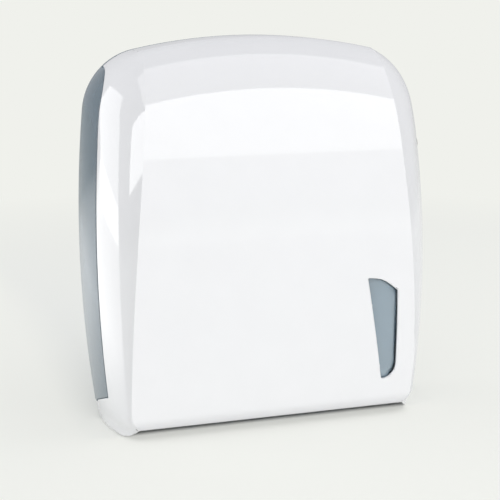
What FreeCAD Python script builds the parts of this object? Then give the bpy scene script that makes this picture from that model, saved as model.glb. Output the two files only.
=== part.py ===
"""Wall dispenser for folded paper towels: smoked base, white drop-down cover, tray, guides and cam lock.

Frame: X to the right, front towards -Y, Z up, origin at the bottom centre of the whole box. The wall plane is
y = depth / 2. A depth "d" in this file is measured forwards from the wall, so its y is depth / 2 - d.
"""

import FreeCAD, Part

import math
import os
import re

from FreeCAD import Placement, Rotation, Vector
from Sketcher import Constraint

# Driving dimensions in millimetres, one spreadsheet cell each.
DIMENSIONS = {
    # outer form
    "width": 325.0,
    "height": 355.0,
    "depth": 95.0,
    "foot_depth": 84.0,
    "foot_rise": 10.0,
    "foot_half": 129.0,
    "foot_flat": 62.0,
    "belly_height": 140.0,
    "brow_arc": 95.0,
    "side_arc": 1150.0,
    "waist_height": 175.0,
    "corner_arc": 60.0,
    "arch_arc": 525.0,
    "shoulder": 50.0,
    "shoulder_lead": 5.0,
    "shell": 2.6,
    # parting line between the smoked base and the white cover
    "seam": 0.6,
    "back_plate": 3.0,
    "base_foot": 16.0,
    "notch_depth": 55.0,
    "notch_height": 34.5,
    "notch_arc": 1180.0,
    "notch_waist": 110.0,
    "notch_corner": 36.0,
    "notch_top": 328.0,
    "lip_gap": 0.5,
    "lip_wall": 1.6,
    "lip_reach": 4.0,
    # cover hinge
    "hinge_depth": 16.0,
    "hinge_height": 10.0,
    "hinge_inset": 20.0,
    "hinge_boss": 6.0,
    "pin_radius": 2.5,
    "pin_head": 4.5,
    "pin_cap": 2.0,
    "pin_grip": 5.0,
    "bush_wall": 1.2,
    "bush_flange": 1.0,
    "ear_wall": 4.0,
    "run_fit": 0.05,
    "side_play": 0.3,
    "pin_edge": 0.6,
    "flange_inset": 0.4,
    # wall fixing
    "fix_span": 200.0,
    "fix_rise": 180.0,
    "fix_low": 100.0,
    "fix_radius": 2.75,
    # towel tray
    "tray_play": 1.0,
    "tray_height": 20.0,
    "tray_wall": 2.2,
    "tray_front": 80.0,
    "tray_heel": 26.0,
    "tray_edge": 7.0,
    "tray_screw_inset": 30.0,
    "tray_screw_drop": 8.0,
    "slot_width": 190.0,
    "slot_depth": 34.0,
    "slot_centre": 41.0,
    # side guides
    "stack_width": 252.0,
    "guide_wall": 2.4,
    "guide_depth": 74.0,
    "guide_low": 32.0,
    "guide_top": 282.0,
    "guide_slope": 80.0,
    "guide_foot": 16.0,
    "rib_height": 4.0,
    "rib_wall": 2.4,
    "rib_pitch": 50.0,
    "guide_screw_low": 30.0,
    "guide_screw_high": 40.0,
    # screws into plastic
    "post_radius": 4.0,
    "screw_radius": 1.6,
    "screw_head": 3.2,
    "screw_cap": 2.0,
    "screw_length": 7.0,
    "screw_edge": 0.8,
    "screw_play": 0.2,
    # cam lock in the right-hand rim
    "lock_depth": 26.0,
    "lock_height": 250.0,
    "lock_flange": 10.0,
    "lock_body": 8.0,
    "lock_length": 18.0,
    "barrel": 5.5,
    "cam_wall": 2.5,
    "cam_reach": 20.0,
    "cam_width": 7.0,
    "cam_hub": 7.0,
    "hook_width": 10.0,
    "hook_wall": 2.5,
    # level window, seen from the front
    "window_crown": 137.0,
    "window_crown_x": 86.4,
    "window_bend": 134.2,
    "window_bend_x": 103.0,
    "window_bend_arc": 40.0,
    "window_edge": 118.2,
    "window_edge_top": 123.7,
    "window_edge_top_x": 116.2,
    "window_sill": 37.6,
    "window_sill_x": 104.3,
    "window_corner": 12.5,
    "lens_gap": 0.2,
    "lens_rim": 3.5,
    # small parts of the lock and latch
    "lock_seat": 1.2,
    "lock_pad": 5.0,
    "lock_pad_rim": 3.0,
    "nut_wall": 4.0,
    "nut_radius": 12.5,
    "face_drop": 0.1,
    "barrel_drop": 0.3,
    "collar": 1.4,
    "collar_fit": 0.1,
    "collar_seat": 0.3,
    "cam_neck": 3.0,
    "cam_bolt": 1.25,
    "bolt_bore": 4.0,
    "bolt_length": 6.0,
    "bolt_head": 3.0,
    "bolt_cap": 1.8,
    "washer_wall": 0.8,
    "key_depth": 6.0,
    "key_width": 6.0,
    "key_wall": 1.6,
    "hook_play": 1.2,
    "hook_rise": 10.0,
    "hook_lead": 10.0,
    "hook_edge": 6.0,
    "hook_over": 0.8,
    "latch_play": 0.4,
    # how far cutting tools run past what they cut
    "spare": 10.0,
}

NODES = {}

doc = FreeCAD.newDocument("towel_dispenser")
sheet = doc.addObject("Spreadsheet::Sheet", "dims")
for row, (alias, number) in enumerate(DIMENSIONS.items(), start=1):
    sheet.set(f"A{row}", alias)
    sheet.set(f"B{row}", str(number))
    sheet.setAlias(f"B{row}", alias)
doc.recompute()


# ---------------------------------------------------------------- helpers


def cells(text):
    """Return an expression with every alias in it pointed at its spreadsheet cell."""
    names = re.compile(r"\b(" + "|".join(DIMENSIONS) + r")\b")
    return names.sub(r"dims.\1", str(text))


def worth(text):
    """Return the present value of an expression of aliases."""
    return float(sheet.evalExpression(cells(text)))


def ahead(text):
    """Return the expression for the y of a depth measured forwards from the wall."""
    return f"depth / 2 - ({text})"


def bind(obj, **settings):
    """Bind properties to expressions; a double underscore in a name stands for a dot."""
    for name, text in settings.items():
        obj.setExpression(name.replace("__", "."), cells(text))


def put(obj, x="0", y="0", z="0", turn=None):
    """Place an object by expressions, after an optional (axis, angle) turn."""
    if turn:
        obj.Placement = Placement(Vector(), Rotation(Vector(*turn[0]), turn[1]))
    bind(obj, Placement__Base__x=x, Placement__Base__y=y, Placement__Base__z=z)
    return obj


def box(name, low, size):
    """Make a box from its low corner and its three lengths."""
    block = doc.addObject("Part::Box", name)
    bind(block, Length=size[0], Width=size[1], Height=size[2])
    return put(block, *low)


def rod(name, centre, axis, radius, length):
    """Make a cylinder that starts at a centre and runs along +X, -Y or +Z."""
    turns = {"X": ((0, 1, 0), 90), "Y": ((1, 0, 0), 90), "Z": None}
    cylinder = doc.addObject("Part::Cylinder", name)
    bind(cylinder, Radius=radius, Height=length)
    return put(cylinder, *centre, turn=turns[axis])


def fuse(name, shapes):
    """Join several objects into one solid."""
    joined = doc.addObject("Part::MultiFuse", name)
    joined.Shapes = shapes
    joined.Refine = True
    return joined


def cut(name, base, tool):
    """Take one object away from another."""
    left = doc.addObject("Part::Cut", name)
    left.Base = base
    left.Tool = tool
    return left


def common(name, base, tool):
    """Keep what two objects share."""
    kept = doc.addObject("Part::Common", name)
    kept.Base = base
    kept.Tool = tool
    return kept


def node(name, obj):
    """Register an object as a named piece of the dispenser."""
    obj.Label = name
    NODES[name] = obj
    return obj


def hand_name(side):
    """Return the word for a side: +1 is the right hand, -1 the left."""
    return "right" if side > 0 else "left"


def flat_sketch(body, name, role, lift="0"):
    """Add a sketch to a body's own origin plane, lifted along its normal."""
    sketch = body.newObject("Sketcher::SketchObject", name)
    plane = next(item for item in body.Origin.OriginFeatures if item.Role == role)
    sketch.AttachmentSupport = [(plane, "")]
    sketch.MapMode = "FlatFace"
    bind(sketch, AttachmentOffset__Base__z=lift)
    return sketch


def hold(sketch, item, end, x=None, y=None):
    """Hold one point of a sketch at expressions of the sheet, measured from the sketch's origin."""
    for kind, text in (("DistanceX", x), ("DistanceY", y)):
        if text is None:
            continue
        value = worth(text)
        if value < 0:
            index = sketch.addConstraint(Constraint(kind, item, end, -1, 1, -value))
            text = f"-({text})"
        else:
            index = sketch.addConstraint(Constraint(kind, -1, 1, item, end, value))
        sketch.setExpression(f"Constraints[{index}]", cells(text))


def hold_radius(sketch, item, text):
    """Hold the radius of an arc at an expression of the sheet."""
    index = sketch.addConstraint(Constraint("Radius", item, worth(text)))
    sketch.setExpression(f"Constraints[{index}]", cells(text))


def polygon(sketch, points):
    """Draw a closed polygon whose corners are pairs of expressions."""
    corners = [Vector(worth(x), worth(y), 0) for x, y in points]
    for first, second in zip(corners, corners[1:] + corners[:1]):
        sketch.addGeometry(Part.LineSegment(first, second))
    for item, (x, y) in enumerate(points):
        before = item - 1 if item else len(points) - 1
        sketch.addConstraint(Constraint("Coincident", before, 2, item, 1))
        hold(sketch, item, 1, x, y)


def chain(sketch, stops, centres, joints):
    """Draw a closed chain of lines and arcs through its stops and join each piece to the one before.

    A centre of None draws a line. A centre of (point, 1) draws an anticlockwise arc about the point and
    (point, -1) a clockwise one.
    A joint is "Tangent" or "Coincident".
    """
    ends = []
    for start, end, centre in zip(stops, stops[1:] + stops[:1], centres):
        if centre is None:
            sketch.addGeometry(Part.LineSegment(start, end))
            ends.append((1, 2))
            continue
        middle, sense = centre
        low, high = (start, end) if sense > 0 else (end, start)
        first = math.atan2(low.y - middle.y, low.x - middle.x)
        last = math.atan2(high.y - middle.y, high.x - middle.x)
        circle = Part.Circle(middle, Vector(0, 0, 1), (start - middle).Length)
        sketch.addGeometry(Part.ArcOfCircle(circle, first, last + (math.tau if last < first else 0)))
        ends.append((1, 2) if sense > 0 else (2, 1))
    for item, joint in enumerate(joints):
        before = item - 1 if item else len(joints) - 1
        sketch.addConstraint(Constraint(joint, before, ends[before][1], item, ends[item][0]))


def padded(name, role, points, length, lift="0", both=False):
    """Make a body with one polygon padded to a length."""
    body = doc.addObject("PartDesign::Body", name)
    sketch = flat_sketch(body, f"{name}_outline", role, lift)
    polygon(sketch, points)
    pad = body.newObject("PartDesign::Pad", f"{name}_pad")
    pad.Profile = sketch
    pad.SideType = "Symmetric" if both else "One side"
    bind(pad, Length=length)
    return body


def turned(name, stations):
    """Make a body by turning a closed half profile of (radius, height) expressions about its Z axis."""
    body = doc.addObject("PartDesign::Body", name)
    sketch = flat_sketch(body, f"{name}_profile", "XZ_Plane")
    polygon(sketch, stations)
    spin = body.newObject("PartDesign::Revolution", f"{name}_spin")
    spin.Profile = sketch
    spin.ReferenceAxis = (sketch, ["V_Axis"])
    spin.Angle = 360
    return body


# ---------------------------------------------------------------- outer form


def meet(first, first_radius, second, second_radius, side):
    """Return the point at two distances from two centres, on the given side of the line between them."""
    gap = second - first
    along = (gap.Length**2 + first_radius**2 - second_radius**2) / (2 * gap.Length)
    across = math.sqrt(first_radius**2 - along**2)
    unit = gap / gap.Length
    return first + unit * along + Vector(-unit.y, unit.x, 0) * across * side


def reach(centre, towards, radius):
    """Return the point of a circle on the ray from its centre through another point."""
    return centre + (towards - centre).normalize() * radius


BELLY_SPAN = "(belly_height - foot_rise)"
BELLY_ARC = f"(({BELLY_SPAN} ^ 2 + (depth - foot_depth) ^ 2) / (2 * (depth - foot_depth)))"
ROOF = "height + 60"
BELOW = "-30"
BEHIND = "depth / 2 + 5"


def front_outline(sketch, inset, floor):
    """Draw the front outline, moved inwards by an inset: bowed sides, round corners and an arched top."""
    side, corner, arch = (worth(f"{name} - ({inset})") for name in ("side_arc", "corner_arc", "arch_arc"))
    arch_centre = Vector(0, worth("height - arch_arc"), 0)
    right_centre = Vector(worth("width / 2 - side_arc"), worth("waist_height"), 0)
    corner_centre = meet(arch_centre, arch - corner, right_centre, side - corner, -1)
    level = worth(floor)
    foot = Vector(right_centre.x + math.sqrt(side**2 - (level - right_centre.y) ** 2), level, 0)
    low = reach(right_centre, corner_centre, side)
    high = reach(arch_centre, corner_centre, arch)

    def over(point):
        return Vector(-point.x, point.y, 0)

    stops = [over(foot), foot, low, high, over(high), over(low)]
    arcs = [right_centre, corner_centre, arch_centre, over(corner_centre), over(right_centre)]
    joints = ["Coincident", "Coincident", "Tangent", "Tangent", "Tangent", "Tangent"]
    chain(sketch, stops, [None, *((centre, 1) for centre in arcs)], joints)
    for item, name in enumerate(("side_arc", "corner_arc", "arch_arc", "corner_arc", "side_arc"), start=1):
        hold_radius(sketch, item, f"{name} - ({inset})")
    hold(sketch, 1, 3, "width / 2 - side_arc", "waist_height")
    hold(sketch, 5, 3, "side_arc - width / 2", "waist_height")
    hold(sketch, 3, 3, "0", "height - arch_arc")
    hold(sketch, 0, 1, None, floor)
    sketch.addConstraint(Constraint("Horizontal", 0))


def brow_outline(sketch, inset):
    """Draw what lies ahead of the front panel seen from the side: bellied front, round brow, level top."""
    belly, brow = worth(f"{BELLY_ARC} - ({inset})"), worth(f"brow_arc - ({inset})")
    belly_centre = Vector(worth(f"{BELLY_ARC} - depth / 2"), worth("belly_height"), 0)
    top = worth(f"height + 1 - ({inset})")
    rise = top - brow - belly_centre.y
    brow_centre = Vector(belly_centre.x - math.sqrt((belly - brow) ** 2 - rise**2), top - brow, 0)
    low = worth(BELOW)
    foot = Vector(belly_centre.x - math.sqrt(belly**2 - (low - belly_centre.y) ** 2), low, 0)
    far, back, roof = worth("-depth"), worth(BEHIND), worth(ROOF)
    chain(
        sketch,
        [
            foot,
            reach(belly_centre, brow_centre, belly),
            Vector(brow_centre.x, top, 0),
            Vector(back, top, 0),
            Vector(back, roof, 0),
            Vector(far, roof, 0),
            Vector(far, low, 0),
        ],
        [(belly_centre, -1), (brow_centre, -1), None, None, None, None, None],
        ["Coincident", "Tangent", "Tangent", "Coincident", "Coincident", "Coincident", "Coincident"],
    )
    hold(sketch, 0, 3, f"{BELLY_ARC} - depth / 2", "belly_height")
    hold_radius(sketch, 0, f"{BELLY_ARC} - ({inset})")
    hold_radius(sketch, 1, f"brow_arc - ({inset})")
    sketch.addConstraint(Constraint("Horizontal", 2))
    hold(sketch, 3, 1, BEHIND, f"height + 1 - ({inset})")
    hold(sketch, 4, 1, BEHIND, ROOF)
    hold(sketch, 5, 1, "-depth", ROOF)
    hold(sketch, 6, 1, "-depth", BELOW)
    sketch.addConstraint(Constraint("Horizontal", 6))


def form(name, inset, floor):
    """Make the dispenser's outer form as one block, moved inwards by an inset."""
    body = doc.addObject("PartDesign::Body", name)
    outline = flat_sketch(body, f"{name}_outline", "XZ_Plane", "-depth / 2")
    front_outline(outline, inset, floor)
    block = body.newObject("PartDesign::Pad", f"{name}_block")
    block.Profile = outline
    bind(block, Length=f"depth + shoulder_lead - ({inset})")
    doc.recompute()
    ahead_y = block.Shape.BoundBox.YMin
    rim = [
        f"Edge{number}"
        for number, edge in enumerate(block.Shape.Edges, start=1)
        if edge.BoundBox.YMax < ahead_y + 0.01 and edge.BoundBox.ZLength > 1
    ]
    round_over = body.newObject("PartDesign::Fillet", f"{name}_shoulder")
    round_over.Base = (block, rim)
    bind(round_over, Radius=f"shoulder - ({inset})")
    side = flat_sketch(body, f"{name}_side", "YZ_Plane")
    brow_outline(side, inset)
    brow = body.newObject("PartDesign::Pocket", f"{name}_brow")
    brow.Profile = side
    brow.Type = "ThroughAll"
    brow.SideType = "Symmetric"
    return body


def base_zone(name, grow, hub, low):
    """Make the block behind the parting line, seen from the side and run through the whole width.

    It follows the cheek about the hinge, the sloping sill, the bowed front of the notch and its round top.
    """
    body = doc.addObject("PartDesign::Body", name)
    sketch = flat_sketch(body, f"{name}_side", "YZ_Plane")
    hinge = Vector(worth(ahead("hinge_depth")), worth("hinge_height"), 0)
    radius, bow, corner = worth(hub), worth(f"notch_arc + {grow}"), worth(f"notch_corner + {grow}")
    bow_centre = Vector(worth(ahead("notch_depth - notch_arc")), worth("notch_waist"), 0)
    sill_height = worth(f"notch_height - {grow}")
    nose = Vector(bow_centre.x - math.sqrt(bow**2 - (sill_height - bow_centre.y) ** 2), sill_height, 0)
    slope = nose - hinge
    lean = math.atan2(slope.y, slope.x) - math.acos(radius / slope.Length)
    touch = hinge + Vector(math.cos(lean), math.sin(lean), 0) * radius
    top = worth(f"notch_top + {grow}")
    rise = top - corner - bow_centre.y
    corner_centre = Vector(bow_centre.x - math.sqrt((bow - corner) ** 2 - rise**2), top - corner, 0)
    plate, back, roof = worth(ahead(f"back_plate + {grow}")), worth(BEHIND), worth(ROOF)
    level = worth(low)
    if level < 0:
        entry = [Vector(hinge.x, level, 0), hinge - Vector(0, radius, 0)]
    else:
        entry = [Vector(hinge.x + math.sqrt(radius**2 - (level - hinge.y) ** 2), level, 0)]
    stops = [
        Vector(back, level, 0),
        *entry,
        touch,
        nose,
        reach(bow_centre, corner_centre, bow),
        Vector(corner_centre.x, top, 0),
        Vector(plate, top, 0),
        Vector(plate, roof, 0),
        Vector(back, roof, 0),
    ]
    lines = [None] * len(entry)
    centres = [*lines, (hinge, 1), None, (bow_centre, -1), (corner_centre, -1), None, None, None, None]
    joints = ["Coincident"] * (len(entry) + 1)
    joints += ["Tangent", "Coincident", "Tangent", "Tangent", "Coincident", "Coincident", "Coincident"]
    chain(sketch, stops, centres, joints)
    hub_item = len(entry)
    hold(sketch, hub_item, 3, ahead("hinge_depth"), "hinge_height")
    hold_radius(sketch, hub_item, hub)
    hold(sketch, hub_item + 1, 2, None, f"notch_height - {grow}")
    hold(sketch, hub_item + 2, 3, ahead("notch_depth - notch_arc"), "notch_waist")
    hold_radius(sketch, hub_item + 2, f"notch_arc + {grow}")
    hold_radius(sketch, hub_item + 3, f"notch_corner + {grow}")
    sketch.addConstraint(Constraint("Horizontal", hub_item + 4))
    hold(sketch, hub_item + 5, 1, ahead(f"back_plate + {grow}"), f"notch_top + {grow}")
    hold(sketch, hub_item + 6, 1, ahead(f"back_plate + {grow}"), ROOF)
    hold(sketch, hub_item + 7, 1, BEHIND, ROOF)
    hold(sketch, 0, 1, BEHIND, low)
    sketch.addConstraint(Constraint("Horizontal", 0))
    if level < 0:
        hold(sketch, 1, 1, ahead("hinge_depth"), None)
        sketch.addConstraint(Constraint("Vertical", 1))
    pad = body.newObject("PartDesign::Pad", f"{name}_pad")
    pad.Profile = sketch
    pad.SideType = "Symmetric"
    bind(pad, Length="width + 100")
    return body


outer_form = form("outer_form", "0", "0")
inner_form = form("inner_form", "shell", "-spare")
lip_form = form("lip_form", "shell + lip_gap", "-spare")
core_form = form("core_form", "shell + lip_gap + lip_wall", "-spare")
skin = cut("skin", outer_form, inner_form)
zone_base = base_zone("zone_base", "0", "hinge_height + seam", "base_foot")
zone_cover = base_zone("zone_cover", "seam", "hinge_height", BELOW)

# ---------------------------------------------------------------- places that several pieces share

BOSS_X = "width / 2 - hinge_inset"
EAR_X = f"{BOSS_X} - side_play - bush_flange"
RIM_X = "(width / 2 - side_arc + sqrt(side_arc ^ 2 - (lock_height - waist_height) ^ 2))"
FOOT_ARC = "(((foot_depth - foot_flat) ^ 2 + foot_rise ^ 2) / (2 * foot_rise))"
LOCK_X = f"{RIM_X} - lock_length"
CAM_X = f"{LOCK_X} - side_play - cam_wall"
HOOK_X = f"{CAM_X} - hook_play - hook_wall"
POST_D = "back_plate + rib_height"
GUIDE_X = "stack_width / 2"
GUIDE_SCREW_X = f"{GUIDE_X} + guide_wall + guide_foot / 2"
GUIDE_SCREW_Z = ("guide_low + guide_screw_low", "guide_top - guide_screw_high")
TRAY_HALF = "(stack_width / 2 - tray_play)"
TRAY_SCREW_X = (f"tray_screw_inset - {TRAY_HALF}", "0", f"{TRAY_HALF} - tray_screw_inset")
TRAY_SCREW_Z = "tray_height + tray_heel - tray_screw_drop"
HOOK_SCREW_D = "notch_depth + hook_lead"
HOOK_SCREW_Z = ("lock_height + hook_rise - hook_width", "lock_height + hook_rise + hook_width")
HOOK_BACK_D = f"{HOOK_SCREW_D} + hook_edge"


def along(side, start, length):
    """Return the low x of a span that starts at an x and runs outwards on the given side."""
    return start if side > 0 else f"-({start} + {length})"


def trimmed(name, shape):
    """Keep what of a shape lies inside the outer form."""
    return common(name, shape, outer_form)


# ---------------------------------------------------------------- smoked base


def base_rim():
    """Make the side walls of the base and the lip that the cover closes over."""
    rim = common("rim", skin, zone_base)
    ring = cut("lip_ring", lip_form, core_form)
    bridge = cut("bridge_ring", inner_form, core_form)
    zone_lip = base_zone("zone_lip", "lip_reach", "hinge_height + seam", "base_foot")
    zone_tie = base_zone("zone_tie", "-seam", "hinge_height + seam", "base_foot")
    zone_hollow = base_zone("zone_hollow", "-lip_reach", "hinge_height + seam", BELOW)
    lip = cut("lip", common("lip_band", ring, zone_lip), zone_hollow)
    tie = cut("tie", common("tie_band", bridge, zone_tie), zone_hollow)
    size = ("2 * width", "2 * depth", f"notch_height + 1.5 * spare - ({BELOW})")
    low_end = box("lip_end", ("-width", "-depth", BELOW), size)
    return [rim, cut("closing_lip", fuse("lip_blank", [lip, tie]), low_end)]


def base_plate():
    """Make the back plate with its ribs and screw posts."""
    low = ("-width / 2 - spare", ahead("back_plate"), "base_foot")
    slab = box("slab", low, ("width + 2 * spare", "back_plate + spare", "height + spare"))
    drop = "base_foot + 1 - (hinge_height - hinge_boss)"
    tongue_low = (f"-({EAR_X})", ahead("back_plate"), "hinge_height - hinge_boss")
    tongue = box("plate_tongue", tongue_low, (f"2 * ({EAR_X})", "back_plate", drop))
    parts = [trimmed("plate", slab), tongue]
    for count in range(-3, 4, 2):
        name = f"rib_{(count + 3) // 2}"
        low = (f"{count} * rib_pitch / 2 - rib_wall / 2", ahead(POST_D), "guide_low + guide_screw_low")
        parts.append(box(name, low, ("rib_wall", "rib_height + 1", "guide_top - guide_low")))
    for index, x in enumerate(TRAY_SCREW_X):
        centre = (x, ahead("back_plate - 1"), TRAY_SCREW_Z)
        parts.append(rod(f"tray_post_{index}", centre, "Y", "post_radius", "rib_height + 1"))
    for side in (-1, 1):
        for index, z in enumerate(GUIDE_SCREW_Z):
            centre = (f"{side} * ({GUIDE_SCREW_X})", ahead("back_plate - 1"), z)
            parts.append(rod(f"guide_post_{side + 1}{index}", centre, "Y", "post_radius", "rib_height + 1"))
    return parts


def base_ears():
    """Make the two hinge ears."""
    parts = []
    for side in (-1, 1):
        tag = hand_name(side)
        x = along(side, f"{EAR_X} - ear_wall", "ear_wall")
        low = (x, ahead("hinge_depth"), "hinge_height - hinge_boss")
        size = ("ear_wall", "hinge_depth", "2 * hinge_boss")
        parts.append(box(f"ear_arm_{tag}", low, size))
        centre = (x, ahead("hinge_depth"), "hinge_height")
        parts.append(rod(f"ear_eye_{tag}", centre, "X", "hinge_boss", "ear_wall"))
    return parts


def base_holes():
    """Make the bores of the base: hinge bushes, wall screws, post pilots and the lock."""
    tools = []
    for side in (-1, 1):
        tag = hand_name(side)
        x = along(side, f"{EAR_X} - ear_wall", "ear_wall + 1")
        centre = (x, ahead("hinge_depth"), "hinge_height")
        tools.append(rod(f"bush_bore_{tag}", centre, "X", "pin_radius + run_fit + bush_wall", "ear_wall + 1"))
        for level in (0, 1):
            centre = (f"{side} * fix_span / 2", ahead("-1"), f"fix_low + {level} * fix_rise")
            tools.append(rod(f"fix_{tag}_{level}", centre, "Y", "fix_radius", "back_plate + 2"))
        for index, z in enumerate(GUIDE_SCREW_Z):
            centre = (f"{side} * ({GUIDE_SCREW_X})", ahead("back_plate / 2"), z)
            name = f"guide_pilot_{tag}_{index}"
            tools.append(rod(name, centre, "Y", "screw_radius", "rib_height + back_plate"))
    for index, x in enumerate(TRAY_SCREW_X):
        centre = (x, ahead("back_plate / 2"), TRAY_SCREW_Z)
        tools.append(rod(f"tray_pilot_{index}", centre, "Y", "screw_radius", "rib_height + back_plate"))
    lock = (ahead("lock_depth"), "lock_height")
    tools.append(rod("lock_bore", (f"{RIM_X} - lock_length", *lock), "X", "lock_body", "lock_length + spare"))
    seat = (f"{RIM_X} - lock_seat", *lock)
    tools.append(rod("lock_seat_bore", seat, "X", "lock_flange + screw_play", "lock_seat + spare"))
    return tools


def rear_base():
    """Assemble the smoked base."""
    place = (f"{RIM_X} - lock_pad", ahead("lock_depth"), "lock_height")
    pad = rod("lock_post", place, "X", "lock_flange + lock_pad_rim", "lock_pad + spare")
    solids = [*base_rim(), *base_plate(), *base_ears(), trimmed("lock_boss", pad)]
    blank = fuse("base_blank", solids)
    return node("rear_base", cut("rear_base", blank, fuse("base_tools", base_holes())))


# ---------------------------------------------------------------- white cover and level window


def window_block(name, grow):
    """Make the prism of the level window, larger than the window by an expression."""
    points = [
        (f"window_crown_x - ({grow})", f"window_crown + ({grow})"),
        (f"window_bend_x + ({grow}) / 2", f"window_bend + ({grow})"),
        (f"window_edge_top_x + ({grow})", f"window_edge_top + ({grow}) / 2"),
        (f"window_edge + ({grow})", f"window_sill - ({grow})"),
        (f"window_sill_x - ({grow})", f"window_sill - ({grow})"),
    ]
    body = padded(name, "XZ_Plane", points, "depth")
    doc.recompute()
    for tag, corner, radius in (("bend", 1, "window_bend_arc"), ("foot", 3, "window_corner")):
        pad = body.Tip
        x, z = (worth(text) for text in points[corner])
        edges = [
            f"Edge{number}"
            for number, edge in enumerate(pad.Shape.Edges, start=1)
            if edge.BoundBox.YLength > 1 and math.hypot(edge.BoundBox.XMin - x, edge.BoundBox.ZMin - z) < 0.01
        ]
        rounded = body.newObject("PartDesign::Fillet", f"{name}_{tag}")
        rounded.Base = (pad, edges)
        bind(rounded, Radius=radius)
        doc.recompute()
    return body


def cover_bosses():
    """Make the hinge bosses and the latch posts inside the cover."""
    parts = []
    for side in (-1, 1):
        tag = hand_name(side)
        x = along(side, BOSS_X, "hinge_inset")
        centre = (x, ahead("hinge_depth"), "hinge_height")
        boss = rod(f"hinge_rod_{tag}", centre, "X", "hinge_boss", "hinge_inset")
        parts.append(trimmed(f"hinge_boss_{tag}", boss))
    for index, z in enumerate(HOOK_SCREW_Z):
        centre = (f"{HOOK_X} + hook_wall", ahead(HOOK_SCREW_D), z)
        post = rod(f"hook_rod_{index}", centre, "X", "post_radius", f"width / 2 - ({HOOK_X})")
        parts.append(trimmed(f"hook_post_{index}", post))
    return parts


def foot_tools():
    """Make the tools that raise the front panel's lower edge and round the cheeks up to it."""
    low = ("-foot_half", "-depth", "-spare")
    raised = box("foot_gap", low, ("2 * foot_half", "2 * depth", "foot_rise + spare"))
    toe_low = ("-width", ahead("depth + spare"), "-spare")
    toe = box("toe_block", toe_low, ("2 * width", "depth + spare - foot_flat", "foot_rise + spare"))
    curve = rod("toe_rod", ("-width", ahead("foot_flat"), FOOT_ARC), "X", FOOT_ARC, "2 * width")
    return [raised, cut("toe_tool", toe, curve)]


def cover_holes():
    """Make the bores of the cover, the window and the tools that shape its foot."""
    tools = [window_block("window", "0"), *foot_tools()]
    for side in (-1, 1):
        tag = hand_name(side)
        x = along(side, f"{BOSS_X} - 1", "pin_grip + 1")
        centre = (x, ahead("hinge_depth"), "hinge_height")
        tools.append(rod(f"pin_bore_{tag}", centre, "X", "pin_radius", "pin_grip + 1"))
    for index, z in enumerate(HOOK_SCREW_Z):
        centre = (f"{HOOK_X} + hook_wall - 1", ahead(HOOK_SCREW_D), z)
        tools.append(rod(f"hook_pilot_{index}", centre, "X", "screw_radius", "screw_length + 1"))
    return tools


def front_cover():
    """Assemble the white cover."""
    panel = cut("cover_skin", skin, zone_cover)
    blank = fuse("cover_blank", [panel, *cover_bosses()])
    return node("front_cover", cut("front_cover", blank, fuse("cover_tools", cover_holes())))


def level_window():
    """Make the smoked lens: it fills the opening and its rim lies behind the panel."""
    through = cut("lens_skin", outer_form, core_form)
    behind = cut("lens_ring", lip_form, core_form)
    lens = common("lens_face", window_block("lens_block", "-lens_gap"), through)
    rim = common("lens_back", window_block("lens_rim", "lens_rim"), behind)
    return node("level_window", fuse("level_window", [lens, rim]))


# ---------------------------------------------------------------- tray and guides


def towel_tray():
    """Make the outlet tray: a floor with a round-ended slot, a heel and an apron turned down."""
    half = TRAY_HALF
    deep = f"tray_front - ({POST_D})"
    floor_low = (f"-{half}", ahead("tray_front"), "tray_height")
    floor = box("tray_floor", floor_low, (f"2 * {half}", deep, "tray_wall"))
    heel_low = (f"-{half}", ahead(f"{POST_D} + tray_wall"), "tray_height")
    heel = box("tray_heel_wall", heel_low, (f"2 * {half}", "tray_wall", "tray_heel"))
    apron_low, apron = "tray_height - tray_edge", "tray_edge + tray_wall"
    lip = box("tray_lip", (f"-{half}", ahead("tray_front"), apron_low), (f"2 * {half}", "tray_wall", apron))
    sides = [
        box(f"tray_side_{index}", (x, ahead("tray_front"), apron_low), ("tray_wall", deep, apron))
        for index, x in enumerate((f"-{half}", f"{half} - tray_wall"))
    ]
    straight = "slot_width / 2 - slot_depth / 2"
    slot_low = (f"-({straight})", ahead("slot_centre + slot_depth / 2"), "tray_height - 1")
    tools = [box("slot_middle", slot_low, (f"2 * ({straight})", "slot_depth", "tray_wall + 2"))]
    for side in (-1, 1):
        centre = (f"{side} * ({straight})", ahead("slot_centre"), "tray_height - 1")
        tools.append(rod(f"slot_end_{side + 1}", centre, "Z", "slot_depth / 2", "tray_wall + 2"))
    for index, x in enumerate(TRAY_SCREW_X):
        centre = (x, ahead(f"{POST_D} - 1"), TRAY_SCREW_Z)
        tools.append(rod(f"tray_hole_{index}", centre, "Y", "screw_radius + screw_play", "tray_wall + 2"))
    blank = fuse("tray_blank", [floor, heel, lip, *sides])
    return node("towel_tray", cut("towel_tray", blank, fuse("tray_tools", tools)))


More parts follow.
